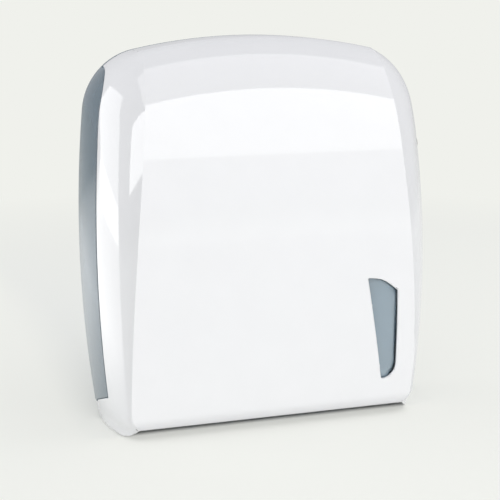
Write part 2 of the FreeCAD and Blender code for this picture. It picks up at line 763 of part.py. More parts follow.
def side_guide(side):
    """Make one side guide: an upright cheek with a sloping top and a foot screwed to the posts."""
    tag = hand_name(side)
    heel = ahead(POST_D)
    points = [
        (heel, "guide_low"),
        (heel, "guide_top"),
        (ahead(f"{POST_D} + guide_foot"), "guide_top"),
        (ahead("guide_depth"), "guide_top - guide_slope"),
        (ahead("guide_depth"), "guide_low"),
    ]
    lift = along(side, GUIDE_X, "guide_wall")
    cheek = padded(f"guide_cheek_{tag}", "YZ_Plane", points, "guide_wall", lift)
    x = along(side, GUIDE_X, "guide_wall + guide_foot")
    foot_size = ("guide_wall + guide_foot", "guide_wall", "guide_top - guide_low")
    foot = box(f"guide_foot_{tag}", (x, ahead(f"{POST_D} + guide_wall"), "guide_low"), foot_size)
    holes = []
    for index, z in enumerate(GUIDE_SCREW_Z):
        centre = (f"{side} * ({GUIDE_SCREW_X})", ahead(f"{POST_D} - 1"), z)
        name = f"guide_hole_{tag}_{index}"
        holes.append(rod(name, centre, "Y", "screw_radius + screw_play", "guide_wall + 2"))
    blank = fuse(f"guide_blank_{tag}", [cheek, foot])
    return node(f"side_guide_{tag}", cut(f"side_guide_{tag}", blank, fuse(f"guide_tools_{tag}", holes)))


# ---------------------------------------------------------------- screws


def screw(name, x, y, z, turn, length="screw_length"):
    """Make one pan-head screw whose head seats at a point and whose shank runs the way it is turned."""
    body = turned(
        name,
        [
            ("0", length),
            ("0", "-screw_cap"),
            ("screw_head - screw_edge", "-screw_cap"),
            ("screw_head", "-screw_cap + screw_edge"),
            ("screw_head", "0"),
            ("screw_radius", "0"),
            ("screw_radius", length),
        ],
    )
    return put(body, x, y, z, turn)


def screws(name, places, turn, length="screw_length"):
    """Make a group of equal screws as separate solids of one node."""
    group = doc.addObject("Part::Compound", name)
    group.Links = [screw(f"{name}_{index}", *place, turn, length) for index, place in enumerate(places)]
    return node(name, group)


INTO_WALL = ((1, 0, 0), -90)
OUTWARDS = ((0, 1, 0), 90)


def all_screws():
    """Make the screws of the tray, the guides and the latch hook."""
    tray = [(x, ahead(f"{POST_D} + tray_wall"), TRAY_SCREW_Z) for x in TRAY_SCREW_X]
    screws("tray_screws", tray, INTO_WALL)
    guide_y = ahead(f"{POST_D} + guide_wall")
    guide_x = [f"{side} * ({GUIDE_SCREW_X})" for side in (-1, 1)]
    guides = [(x, guide_y, z) for x in guide_x for z in GUIDE_SCREW_Z]
    screws("guide_screws", guides, INTO_WALL)
    hooks = [(HOOK_X, ahead(HOOK_SCREW_D), z) for z in HOOK_SCREW_Z]
    screws("hook_screws", hooks, OUTWARDS)


# ---------------------------------------------------------------- hinge


def hinge(side):
    """Make one flanged bush, pressed into the base's ear, and the pin pressed into the cover's boss."""
    tag = hand_name(side)
    turn = ((0, 1, 0), 90 * side)
    bore = "pin_radius + run_fit"
    bush = turned(
        f"hinge_bush_{tag}",
        [
            (bore, "0"),
            (f"{bore} + bush_wall", "0"),
            (f"{bore} + bush_wall", "ear_wall"),
            ("hinge_boss - flange_inset", "ear_wall"),
            ("hinge_boss - flange_inset", "ear_wall + bush_flange"),
            (bore, "ear_wall + bush_flange"),
        ],
    )
    start = f"{side} * ({EAR_X} - ear_wall)"
    node(f"hinge_bush_{tag}", put(bush, start, ahead("hinge_depth"), "hinge_height", turn))
    tip = "ear_wall + bush_flange + 2 * side_play + pin_grip"
    pin = turned(
        f"hinge_pin_{tag}",
        [
            ("0", "-pin_cap"),
            ("pin_head - pin_edge", "-pin_cap"),
            ("pin_head", "-pin_cap + pin_edge"),
            ("pin_head", "0"),
            ("pin_radius", "0"),
            ("pin_radius", f"{tip} - pin_edge"),
            ("pin_radius - pin_edge", tip),
            ("0", tip),
        ],
    )
    start = f"{side} * ({EAR_X} - ear_wall - side_play)"
    node(f"hinge_pin_{tag}", put(pin, start, ahead("hinge_depth"), "hinge_height", turn))


# ---------------------------------------------------------------- lock and latch


def lock():
    """Make the cam lock: body, nut, barrel with its cam and screw, lying along X in the right-hand rim."""
    place = (LOCK_X, ahead("lock_depth"), "lock_height", OUTWARDS)
    bore, sleeve = "barrel + run_fit", "lock_body - run_fit"
    recess, collar = "barrel + collar + collar_fit", "barrel + collar"
    seat = "lock_length - lock_seat - collar_seat"
    body = turned(
        "lock_body",
        [
            (bore, "0"),
            (sleeve, "0"),
            (sleeve, "lock_length - lock_seat"),
            ("lock_flange", "lock_length - lock_seat"),
            ("lock_flange", "lock_length - face_drop"),
            (recess, "lock_length - face_drop"),
            (recess, seat),
            (bore, seat),
        ],
    )
    node("lock_body", put(body, *place))
    nut = doc.addObject("Part::Prism", "nut_block")
    nut.Polygon = 6
    bind(nut, Circumradius="nut_radius", Height="nut_wall")
    put(nut, f"{RIM_X} - lock_pad - nut_wall", *place[1:])
    bore_start = (f"{RIM_X} - lock_pad - nut_wall - 1", *place[1:3])
    nut_bore = rod("nut_bore", bore_start, "X", sleeve, "nut_wall + 2")
    node("lock_nut", cut("lock_nut", nut, nut_bore))
    barrel = turned(
        "barrel_blank",
        [
            ("cam_bolt", "-side_play - cam_wall"),
            ("cam_neck", "-side_play - cam_wall"),
            ("cam_neck", "-side_play"),
            ("barrel", "-side_play"),
            ("barrel", f"{seat} + run_fit"),
            (collar, f"{seat} + run_fit"),
            (collar, "lock_length - barrel_drop"),
            ("0", "lock_length - barrel_drop"),
            ("0", "bolt_bore"),
            ("cam_bolt", "bolt_bore"),
        ],
    )
    put(barrel, *place)
    key_low = (f"{RIM_X} - key_depth", ahead("lock_depth + key_wall / 2"), "lock_height - key_width / 2")
    keyway = box("keyway", key_low, ("key_depth + 1", "key_wall", "key_width"))
    node("lock_barrel", cut("lock_barrel", barrel, keyway))
    hub = rod("cam_disc", (CAM_X, *place[1:3]), "X", "cam_hub", "cam_wall")
    finger_low = (CAM_X, ahead("lock_depth + cam_reach"), "lock_height - cam_width / 2")
    finger = box("cam_finger", finger_low, ("cam_wall", "cam_reach", "cam_width"))
    cam_bore = rod("cam_bore", (f"{CAM_X} - 1", *place[1:3]), "X", "cam_neck", "cam_wall + 2")
    node("lock_cam", cut("lock_cam", fuse("cam_blank", [hub, finger]), cam_bore))
    ring = [("cam_bolt", "0"), ("barrel", "0"), ("barrel", "washer_wall"), ("cam_bolt", "washer_wall")]
    washer = turned("cam_washer", ring)
    node("cam_washer", put(washer, f"{CAM_X} - washer_wall", *place[1:]))
    bolt = turned(
        "cam_screw",
        [
            ("0", "bolt_length"),
            ("0", "-bolt_cap"),
            ("bolt_head - screw_edge", "-bolt_cap"),
            ("bolt_head", "-bolt_cap + screw_edge"),
            ("bolt_head", "0"),
            ("cam_bolt", "0"),
            ("cam_bolt", "bolt_length"),
        ],
    )
    node("cam_screw", put(bolt, f"{CAM_X} - washer_wall", *place[1:]))


def latch_hook():
    """Make the steel hook that the cover carries into the base behind the turned cam."""
    lip_d = "lock_depth - cam_width / 2 - latch_play"
    low = "lock_height + hook_rise"
    reach_back = f"{HOOK_BACK_D} - ({lip_d} - hook_wall)"
    arm = box("hook_arm", (HOOK_X, ahead(HOOK_BACK_D), low), ("hook_wall", reach_back, "hook_width"))
    lip_length = "hook_wall + hook_play + cam_wall + hook_over"
    lip = box("hook_lip", (HOOK_X, ahead(lip_d), low), (lip_length, "hook_wall", "hook_width"))
    first, last = HOOK_SCREW_Z
    plate_size = ("hook_wall", "2 * hook_edge", f"{last} - ({first}) + 2 * hook_edge")
    plate = box("hook_plate", (HOOK_X, ahead(HOOK_BACK_D), f"{first} - hook_edge"), plate_size)
    holes = []
    for index, z in enumerate(HOOK_SCREW_Z):
        centre = (f"{HOOK_X} - 1", ahead(HOOK_SCREW_D), z)
        holes.append(rod(f"hook_hole_{index}", centre, "X", "screw_radius + screw_play", "hook_wall + 2"))
    blank = fuse("hook_blank", [arm, lip, plate])
    return node("latch_hook", cut("latch_hook", blank, fuse("hook_tools", holes)))


# ---------------------------------------------------------------- build, check and write

rear_base()
front_cover()
level_window()
towel_tray()
for hand in (-1, 1):
    side_guide(hand)
    hinge(hand)
all_screws()
lock()
latch_hook()
doc.recompute()

for item in doc.Objects:
    if "Invalid" in item.State or "Error" in item.State:
        raise RuntimeError(f"{item.Name} failed: {item.State}")
for name, item in NODES.items():
    if item.Shape.isNull() or not item.Shape.isValid():
        raise RuntimeError(f"{name} has no valid shape")

os.makedirs("parts", exist_ok=True)
for name, item in NODES.items():
    item.Shape.exportStep(f"parts/{name}.step")
    print(f"{name}: {len(item.Shape.Solids)} solid(s), {item.Shape.Volume / 1000:.1f} cm3")
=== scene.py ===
"""Looks of the wall dispenser for folded paper towels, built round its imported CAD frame.

Frame: metres, X to the right, the front panel towards -Y, Z up. A "depth" is measured forwards from the
wall plane. Shapes are worked out in millimetres, because the moulded form is drawn in them, and turned to
metres where a vertex is placed.
"""

import logging
import math
from collections.abc import Callable, Iterable
from dataclasses import dataclass
from enum import Enum

import bmesh
import bpy
from mathutils import Matrix, Vector

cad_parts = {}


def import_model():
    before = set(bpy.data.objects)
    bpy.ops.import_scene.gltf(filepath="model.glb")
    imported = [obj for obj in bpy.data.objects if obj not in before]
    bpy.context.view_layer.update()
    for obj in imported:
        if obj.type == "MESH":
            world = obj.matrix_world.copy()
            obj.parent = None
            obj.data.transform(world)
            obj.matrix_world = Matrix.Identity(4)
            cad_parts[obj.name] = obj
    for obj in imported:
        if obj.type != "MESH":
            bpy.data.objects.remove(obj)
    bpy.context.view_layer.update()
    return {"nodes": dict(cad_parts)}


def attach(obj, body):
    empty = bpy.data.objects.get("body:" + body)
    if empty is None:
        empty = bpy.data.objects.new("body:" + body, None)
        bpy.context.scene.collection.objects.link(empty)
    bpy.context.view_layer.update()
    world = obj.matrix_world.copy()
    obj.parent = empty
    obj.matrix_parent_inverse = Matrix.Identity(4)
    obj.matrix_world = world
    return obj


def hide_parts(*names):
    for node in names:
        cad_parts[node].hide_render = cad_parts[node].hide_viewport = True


LOG = logging.getLogger("dispenser")
MM = 0.001
QUARTER_TURN = math.pi / 2
ALONG_Y = Vector((0.0, 1.0, 0.0))
ALONG_Z = Vector((0.0, 0.0, 1.0))


# ---------------------------------------------------------------- the moulded form


def held(value: float, low: float = 0.0, high: float = 1.0) -> float:
    """Return a value held between two limits."""
    return min(max(value, low), high)


@dataclass(frozen=True)
class Form:
    """Outer form of the closed dispenser, in millimetres.

    Its heights start at the front panel's lower edge, which lies the lift above the standing plane.
    """

    # Y of the wall plane, and height of the panel's lower edge above the standing plane.
    wall: float = 47.5
    lift: float = 10.0
    # The outline: the arch's height, the half width at the waist, and the radii of side, corner and arch.
    rise: float = 345.0
    half_width: float = 162.5
    side_arc: float = 1150.0
    waist: float = 165.0
    corner_arc: float = 60.0
    arch_arc: float = 525.0
    # The panel: its depth at the lower edge, how far its belly stands out, and where the belly ends.
    foot_depth: float = 84.3
    belly: float = 10.45
    belly_end: float = 259.9
    # The brow: how far below the arch it starts, and how far back it falls.
    brow_rise: float = 72.5
    brow_drop: float = 44.0
    # The shoulder: its depth, and the angle at the crease, with what the brow adds to it up to the arch.
    shoulder: float = 85.4
    kink: float = math.radians(5.0)
    crown_kink: float = math.radians(16.0)
    # The crease's half width: at mid height, its taper, its swell and its wave, and the scale of them all.
    crease_middle: float = 127.07
    crease_taper: float = 15.76
    crease_swell: float = 5.73
    crease_wave: float = 3.05
    crease_scale: float = 1.00877
    # How far the crease curls in at the lower edge, and the height at which that starts.
    curl: float = 8.0
    curl_height: float = 14.0
    # The depth up to which the cheeks' lower edge lies flat.
    toe_flat: float = 62.0
    # How often an interval is halved to find a half width: well past the accuracy of a vertex.
    halvings: int = 24

    def place(self, x: float, depth: float, height: float) -> Vector:
        """Return the point in metres for an x, a depth and a height."""
        return Vector((x, self.wall - depth, height + self.lift)) * MM

    def arch(self, x: float) -> float:
        """Return the height of the arched top at an x."""
        return self.rise - self.arch_arc + math.sqrt(self.arch_arc**2 - x**2)

    def corner(self) -> tuple[float, float]:
        """Return the centre of the round upper corner that touches the side arc and the arch."""
        arch_z = self.rise - self.arch_arc
        side_x, side_z = self.half_width - self.side_arc, self.waist
        near, far = self.arch_arc - self.corner_arc, self.side_arc - self.corner_arc
        gap_x, gap_z = side_x, side_z - arch_z
        gap = math.hypot(gap_x, gap_z)
        along = (gap**2 + near**2 - far**2) / (2 * gap)
        across = math.sqrt(near**2 - along**2)
        return (gap_x * along + gap_z * across) / gap, arch_z + (gap_z * along - gap_x * across) / gap

    def outline(self, height: float) -> float:
        """Return the outline's half width at a height.

        Args:
            height: height above the panel's lower edge.

        Returns:
            The half width, on the side arc, the round corner or the arch.
        """
        corner_x, corner_z = self.corner()
        arch_z = self.rise - self.arch_arc
        side_x = self.half_width - self.side_arc
        low = self.waist + (corner_z - self.waist) * self.side_arc / (self.side_arc - self.corner_arc)
        high = arch_z + (corner_z - arch_z) * self.arch_arc / (self.arch_arc - self.corner_arc)
        if height <= low:
            return side_x + math.sqrt(self.side_arc**2 - (height - self.waist) ** 2)
        if height <= high:
            return corner_x + math.sqrt(max(self.corner_arc**2 - (height - corner_z) ** 2, 0.0))
        return math.sqrt(max(self.arch_arc**2 - (height - arch_z) ** 2, 0.0))

    def crease(self, height: float) -> float:
        """Return the front panel's half width at a height.

        Args:
            height: height above the panel's lower edge.

        Returns:
            The half width of a waving taper that curls in just above the lower edge.
        """
        t = 2 * height / self.rise - 1
        curl = self.curl * max(1 - max(height, 0.0) / self.curl_height, 0.0) ** 2
        taper = self.crease_middle - self.crease_taper * t
        return self.crease_scale * (taper - self.crease_swell * t**2 + self.crease_wave * t**3) - curl

    def toe(self, depth: float) -> float:
        """Return the height of the cheeks' lower edge at a depth.

        Args:
            depth: depth from the wall plane.

        Returns:
            The height, flat at the back and rising on an arc to the panel's lower edge.
        """
        reach = self.foot_depth - self.toe_flat
        radius = (reach**2 + self.lift**2) / (2 * self.lift)
        run = held(depth - self.toe_flat, 0.0, reach)
        return radius - math.sqrt(radius**2 - run**2) - self.lift

    def belly_depth(self, height: float) -> float:
        """Return the front panel's depth at a height, before the brow falls away.

        Args:
            height: height above the panel's lower edge.

        Returns:
            The depth, on a shallow belly and on a straight slope above it.
        """
        t = height / self.belly_end
        if t > 1:
            return self.foot_depth - 4 * self.belly * (t - 1)
        return self.foot_depth + 4 * self.belly * t * (1 - t)

    def into_brow(self, x: float, height: float) -> float:
        """Return how far a place has come into the brow, 0 at its foot and 1 at the arch."""
        return held((self.brow_rise - self.arch(x) + height) / self.brow_rise)

    def panel_depth(self, x: float, height: float) -> float:
        """Return the front panel's depth at a place, with the round brow under the arch."""
        into = self.into_brow(x, height)
        return self.belly_depth(height) - self.brow_drop * (1 - math.sqrt(1 - into**2))

    def side(self, crease: float, top: float, height: float, turn: float) -> tuple[float, float]:
        """Return the half width and depth of the shoulder at a turn from the crease round to the side.

        Args:
            crease: half width at the crease.
            top: depth at the crease.
            height: height of the section.
            turn: angle round the shoulder, 0 at the crease and a quarter turn at the side.

        Returns:
            The half width and the depth.
        """
        round_depth = min(self.shoulder, top)
        kink = self.kink + self.crown_kink * self.into_brow(crease, height)
        bend = turn + kink * (1 - turn / QUARTER_TURN)
        span = max(self.outline(height) - crease, 0.0)
        low = math.sin(kink)
        across = (math.sin(bend) - low) / (1 - low)
        down = math.cos(bend) / math.cos(kink)
        return crease + span * across, top - round_depth * (1 - down)

    def side_at(self, depth: float, height: float) -> float:
        """Return the half width of the shoulder at a depth, for fitting other pieces to it.

        Args:
            depth: depth from the wall plane.
            height: height above the panel's lower edge.

        Returns:
            The half width.
        """
        crease = self.crease(height)
        top = self.panel_depth(crease, height)
        low, high = 0.0, QUARTER_TURN
        for _ in range(self.halvings):
            middle = (low + high) / 2
            if self.side(crease, top, height, middle)[1] > depth:
                low = middle
            else:
                high = middle
        return self.side(crease, top, height, high)[0]


FORM = Form()


# ---------------------------------------------------------------- finishes


def linear(hex_colour: str) -> tuple[float, float, float, float]:
    """Return the linear colour of an sRGB hex value such as "#f4f4f2"."""
    parts = [int(hex_colour[i : i + 2], 16) / 255 for i in (1, 3, 5)]
    red, green, blue = (p / 12.92 if p <= 0.04045 else ((p + 0.055) / 1.055) ** 2.4 for p in parts)
    return red, green, blue, 1.0


def add_node(
    tree: bpy.types.NodeTree, kind: str, links: dict[str | int, object] | None = None, **settings: object
) -> bpy.types.Node:
    """Add a node with its settings and links.

    Args:
        tree: the node tree that gets the node.
        kind: the node's type name, without the "ShaderNode" in front.
        links: by input name or number, either (node, output name or number) or a plain value.
        settings: properties of the node itself.

    Returns:
        The new node.
    """
    node = tree.nodes.new(f"ShaderNode{kind}")
    for name, value in settings.items():
        setattr(node, name, value)
    for name, source in (links or {}).items():
        if isinstance(source, tuple) and len(source) == 2 and isinstance(source[0], bpy.types.Node):
            tree.links.new(source[0].outputs[source[1]], node.inputs[name])
        else:
            node.inputs[name].default_value = source
    return node


def empty_tree(owner: bpy.types.Material | bpy.types.World) -> bpy.types.NodeTree:
    """Switch on a material's or world's nodes and return its emptied tree."""
    owner.use_nodes = True
    owner.node_tree.nodes.clear()
    return owner.node_tree


class Grain(Enum):
    """How a moulded or machined surface is finished."""

    POLISHED = "polished mould"
    TEXTURED = "spark-eroded mould"
    BRUSHED = "drawn wire or brushed sheet"


# The colour sockets of the Mix node go by number, because its other kinds of value have the same names.
MIX_FIRST, MIX_SECOND, MIX_COLOUR = 6, 7, 2


@dataclass(frozen=True)
class Finish:
    """A finish of the dispenser: what the material is and how its surface was made."""

    name: str
    colour: str
    roughness: float
    grain: Grain
    ior: float = 1.5
    metallic: float = 0.0
    transmission: float = 0.0
    coat: float = 0.0
    coat_ior: float = 1.5
    coat_roughness: float = 0.02
    colour_shift: float = 0.02
    roughness_shift: float = 0.03
    smoothest: float = 0.02
    # Patches for each metre: one is about 36 mm across.
    patches: float = 28.0
    pitch_mm: float = 1.2
    relief_mm: float = 0.004
    brush_stretch: float = 12.0

    def build(self) -> bpy.types.Material:
        """Return the material: a mottled colour, an uneven gloss and a fine relief on Object coordinates."""
        material = bpy.data.materials.new(self.name)
        tree = empty_tree(material)
        place = add_node(tree, "TexCoord")
        stretch = (1.0, 1.0, self.brush_stretch if self.grain is Grain.BRUSHED else 1.0)
        turned = add_node(tree, "Mapping", {"Vector": (place, "Object"), "Scale": stretch})
        # Pigment and flow lines in the moulding: patches a few centimetres across.
        patches = add_node(
            tree, "TexNoise", {"Vector": (turned, "Vector"), "Scale": self.patches, "Detail": 3.0}
        )
        # Fine relief at the real pitch of the finish.
        fine = add_node(
            tree, "TexNoise", {"Vector": (turned, "Vector"), "Scale": 1 / (self.pitch_mm * MM), "Detail": 2.0}
        )
        base = linear(self.colour)[:3]
        darker = tuple(part * (1 - self.colour_shift) for part in base) + (1.0,)
        lighter = tuple(min(part * (1 + self.colour_shift), 1.0) for part in base) + (1.0,)
        colour = add_node(
            tree,
            "Mix",
            {"Factor": (patches, "Fac"), MIX_FIRST: darker, MIX_SECOND: lighter},
            data_type="RGBA",
        )
        gloss = add_node(
            tree,
            "MapRange",
            {
                "Value": (patches, "Fac"),
                "To Min": max(self.roughness - self.roughness_shift, self.smoothest),
                "To Max": self.roughness + self.roughness_shift,
            },
        )
        relief = add_node(tree, "Bump", {"Height": (fine, "Fac"), "Distance": self.relief_mm * MM})
        shader = add_node(
            tree,
            "BsdfPrincipled",
            {
                "Base Color": (colour, MIX_COLOUR),
                "Roughness": (gloss, "Result"),
                "Normal": (relief, "Normal"),
                "Metallic": self.metallic,
                "IOR": self.ior,
                "Transmission Weight": self.transmission,
                "Coat Weight": self.coat,
                "Coat Roughness": self.coat_roughness,
                "Coat IOR": self.coat_ior,
            },
        )
        add_node(tree, "OutputMaterial", {"Surface": (shader, "BSDF")})
        return material


# High-gloss ABS from a polished mould: a clear, sharp reflection over a clean white, with a faint
# orange peel.
WHITE_ABS = Finish(
    "white_abs_polished",
    "#eeeef0",
    0.07,
    Grain.POLISHED,
    ior=1.53,
    coat=1.0,
    coat_ior=1.6,
    pitch_mm=6.0,
    relief_mm=0.004,
)
# Smoke-tinted styrene from a polished mould: grey-blue, see-through enough to show what is close behind it.
SMOKE_STYRENE = Finish(
    "smoke_styrene_polished",
    "#90a2ae",
    0.05,
    Grain.POLISHED,
    ior=1.59,
    transmission=0.55,
    pitch_mm=8.0,
    relief_mm=0.006,
)
# The lens is the same styrene with a lighter tint, a little less see-through.
LENS_STYRENE = Finish(
    "lens_styrene_polished",
    "#b0c5d2",
    0.04,
    Grain.POLISHED,
    ior=1.59,
    transmission=0.5,
    pitch_mm=8.0,
    relief_mm=0.004,
)
# Light grey ABS from a spark-eroded mould: matt, with a pitch of about 0.8 mm, drawn a little coarser to
# show.
GREY_ABS = Finish("grey_abs_textured", "#cfd1d1", 0.42, Grain.TEXTURED, pitch_mm=0.9, relief_mm=0.02)
# Natural acetal: warm off-white, waxy.
ACETAL = Finish("natural_acetal", "#e4e1d6", 0.3, Grain.TEXTURED, ior=1.48, pitch_mm=1.0, relief_mm=0.006)
# Glass-filled nylon for the lock's body: dark grey with a dry skin.
NYLON = Finish("glass_filled_nylon", "#2b2d2f", 0.5, Grain.TEXTURED, ior=1.53, pitch_mm=0.6, relief_mm=0.012)
# Bright steel, brushed along its length.
STEEL = Finish(
    "bright_steel_brushed", "#b9babb", 0.24, Grain.BRUSHED, metallic=1.0, pitch_mm=0.5, relief_mm=0.003
)
# Zinc-plated steel: slightly bluish, softly uneven.
ZINC = Finish(
    "zinc_plated_steel", "#c3c7ca", 0.3, Grain.TEXTURED, metallic=1.0, pitch_mm=0.8, relief_mm=0.003
)


# ---------------------------------------------------------------- mesh helpers


def make_object(name: str, source: bmesh.types.BMesh, smooth_under: float = 32.0) -> bpy.types.Object:
    """Turn a bmesh into an object at the origin and free the bmesh.

    Args:
        name: the object's name.
        source: the bmesh.
        smooth_under: angle in degrees; edges sharper than this, or marked sharp before, stay sharp.

    Returns:
        The object, linked to the scene.
    """
    limit = math.radians(smooth_under)
    for face in source.faces:
        face.smooth = True
    for edge in source.edges:
        edge.smooth = edge.smooth and edge.calc_face_angle(0.0) < limit
    mesh = bpy.data.meshes.new(name)
    source.to_mesh(mesh)
    source.free()
    piece = bpy.data.objects.new(name, mesh)
    bpy.context.scene.collection.objects.link(piece)
    return piece


def merged_copy(source: bpy.types.Object, reach: float) -> bmesh.types.BMesh:
    """Return a CAD piece's mesh as a bmesh, its loose triangles joined where corners lie within a reach."""
    copy = bmesh.new()
    copy.from_mesh(source.data)
    bmesh.ops.remove_doubles(copy, verts=copy.verts, dist=reach)
    return copy


def cut_across(
    mesh: bmesh.types.BMesh, point: Vector, normal: Vector, near: float, clear: bool = False
) -> list[bmesh.types.BMEdge]:
    """Cut new edges across a mesh where a plane meets it.

    Args:
        mesh: the mesh to cut.
        point: a point of the plane, in metres.
        normal: the plane's normal.
        near: vertices this close to the plane count as on it.
        clear: whether what lies on the side that the normal points to is removed.

    Returns:
        The edges on the plane.
    """
    geometry = mesh.verts[:] + mesh.edges[:] + mesh.faces[:]
    cut = bmesh.ops.bisect_plane(
        mesh, geom=geometry, plane_co=point, plane_no=normal, dist=near, clear_outer=clear
    )
    return [item for item in cut["geom_cut"] if isinstance(item, bmesh.types.BMEdge)]


def prism(points: Iterable[tuple[float, float, float]], along: Vector) -> bmesh.types.BMesh:
    """Return a closed prism.

    Args:
        points: the corners of its first face, in millimetres.
        along: how far and which way that face is extruded, in millimetres.

    Returns:
        The prism, with its faces outwards.
    """
    solid = bmesh.new()
    ring = [solid.verts.new(Vector(point) * MM) for point in points]
    face = solid.faces.new(ring)
    swept = bmesh.ops.extrude_face_region(solid, geom=[face])
    moved = [item for item in swept["geom"] if isinstance(item, bmesh.types.BMVert)]
    bmesh.ops.translate(solid, vec=along * MM, verts=moved)
    bmesh.ops.recalc_face_normals(solid, faces=solid.faces)
    return solid


def arc(
    centre: tuple[float, float], radius: float, first: float, last: float, steps: int
) -> list[tuple[float, float]]:
    """Return points along an arc between two angles in degrees, both ends included."""
    angles = (math.radians(first + (last - first) * step / steps) for step in range(steps + 1))
    return [(centre[0] + radius * math.cos(a), centre[1] + radius * math.sin(a)) for a in angles]


def carve(piece: bpy.types.Object, tools: Iterable[bmesh.types.BMesh]) -> None:
    """Cut closed tools out of a piece, apply its modifiers and keep the result as its plain mesh.

    Args:
        piece: the piece, closed once its modifiers are applied.
        tools: the closed tools, which are freed.
    """
    cutters = []
    for index, tool in enumerate(tools):
        cutter = make_object(f"{piece.name}_tool_{index}", tool)
        cutters.append(cutter)
        modifier = piece.modifiers.new(f"cut_{index}", "BOOLEAN")
        modifier.operation = "DIFFERENCE"
        modifier.solver = "EXACT"
        modifier.object = cutter
    bpy.context.view_layer.update()
    graph = bpy.context.evaluated_depsgraph_get()
    result = bpy.data.meshes.new_from_object(piece.evaluated_get(graph))
    piece.modifiers.clear()
    old = piece.data
    piece.data = result
    bpy.data.meshes.remove(old)
    for cutter in cutters:
        discard(cutter)


def discard(piece: bpy.types.Object) -> None:
    """Remove an object and its mesh."""
    mesh = piece.data
    bpy.data.objects.remove(piece)
    bpy.data.meshes.remove(mesh)


def dress(piece: bpy.types.Object, material: bpy.types.Material) -> None:
    """Give a piece its one material."""
    piece.data.materials.clear()
    piece.data.materials.append(material)


# ---------------------------------------------------------------- front cover


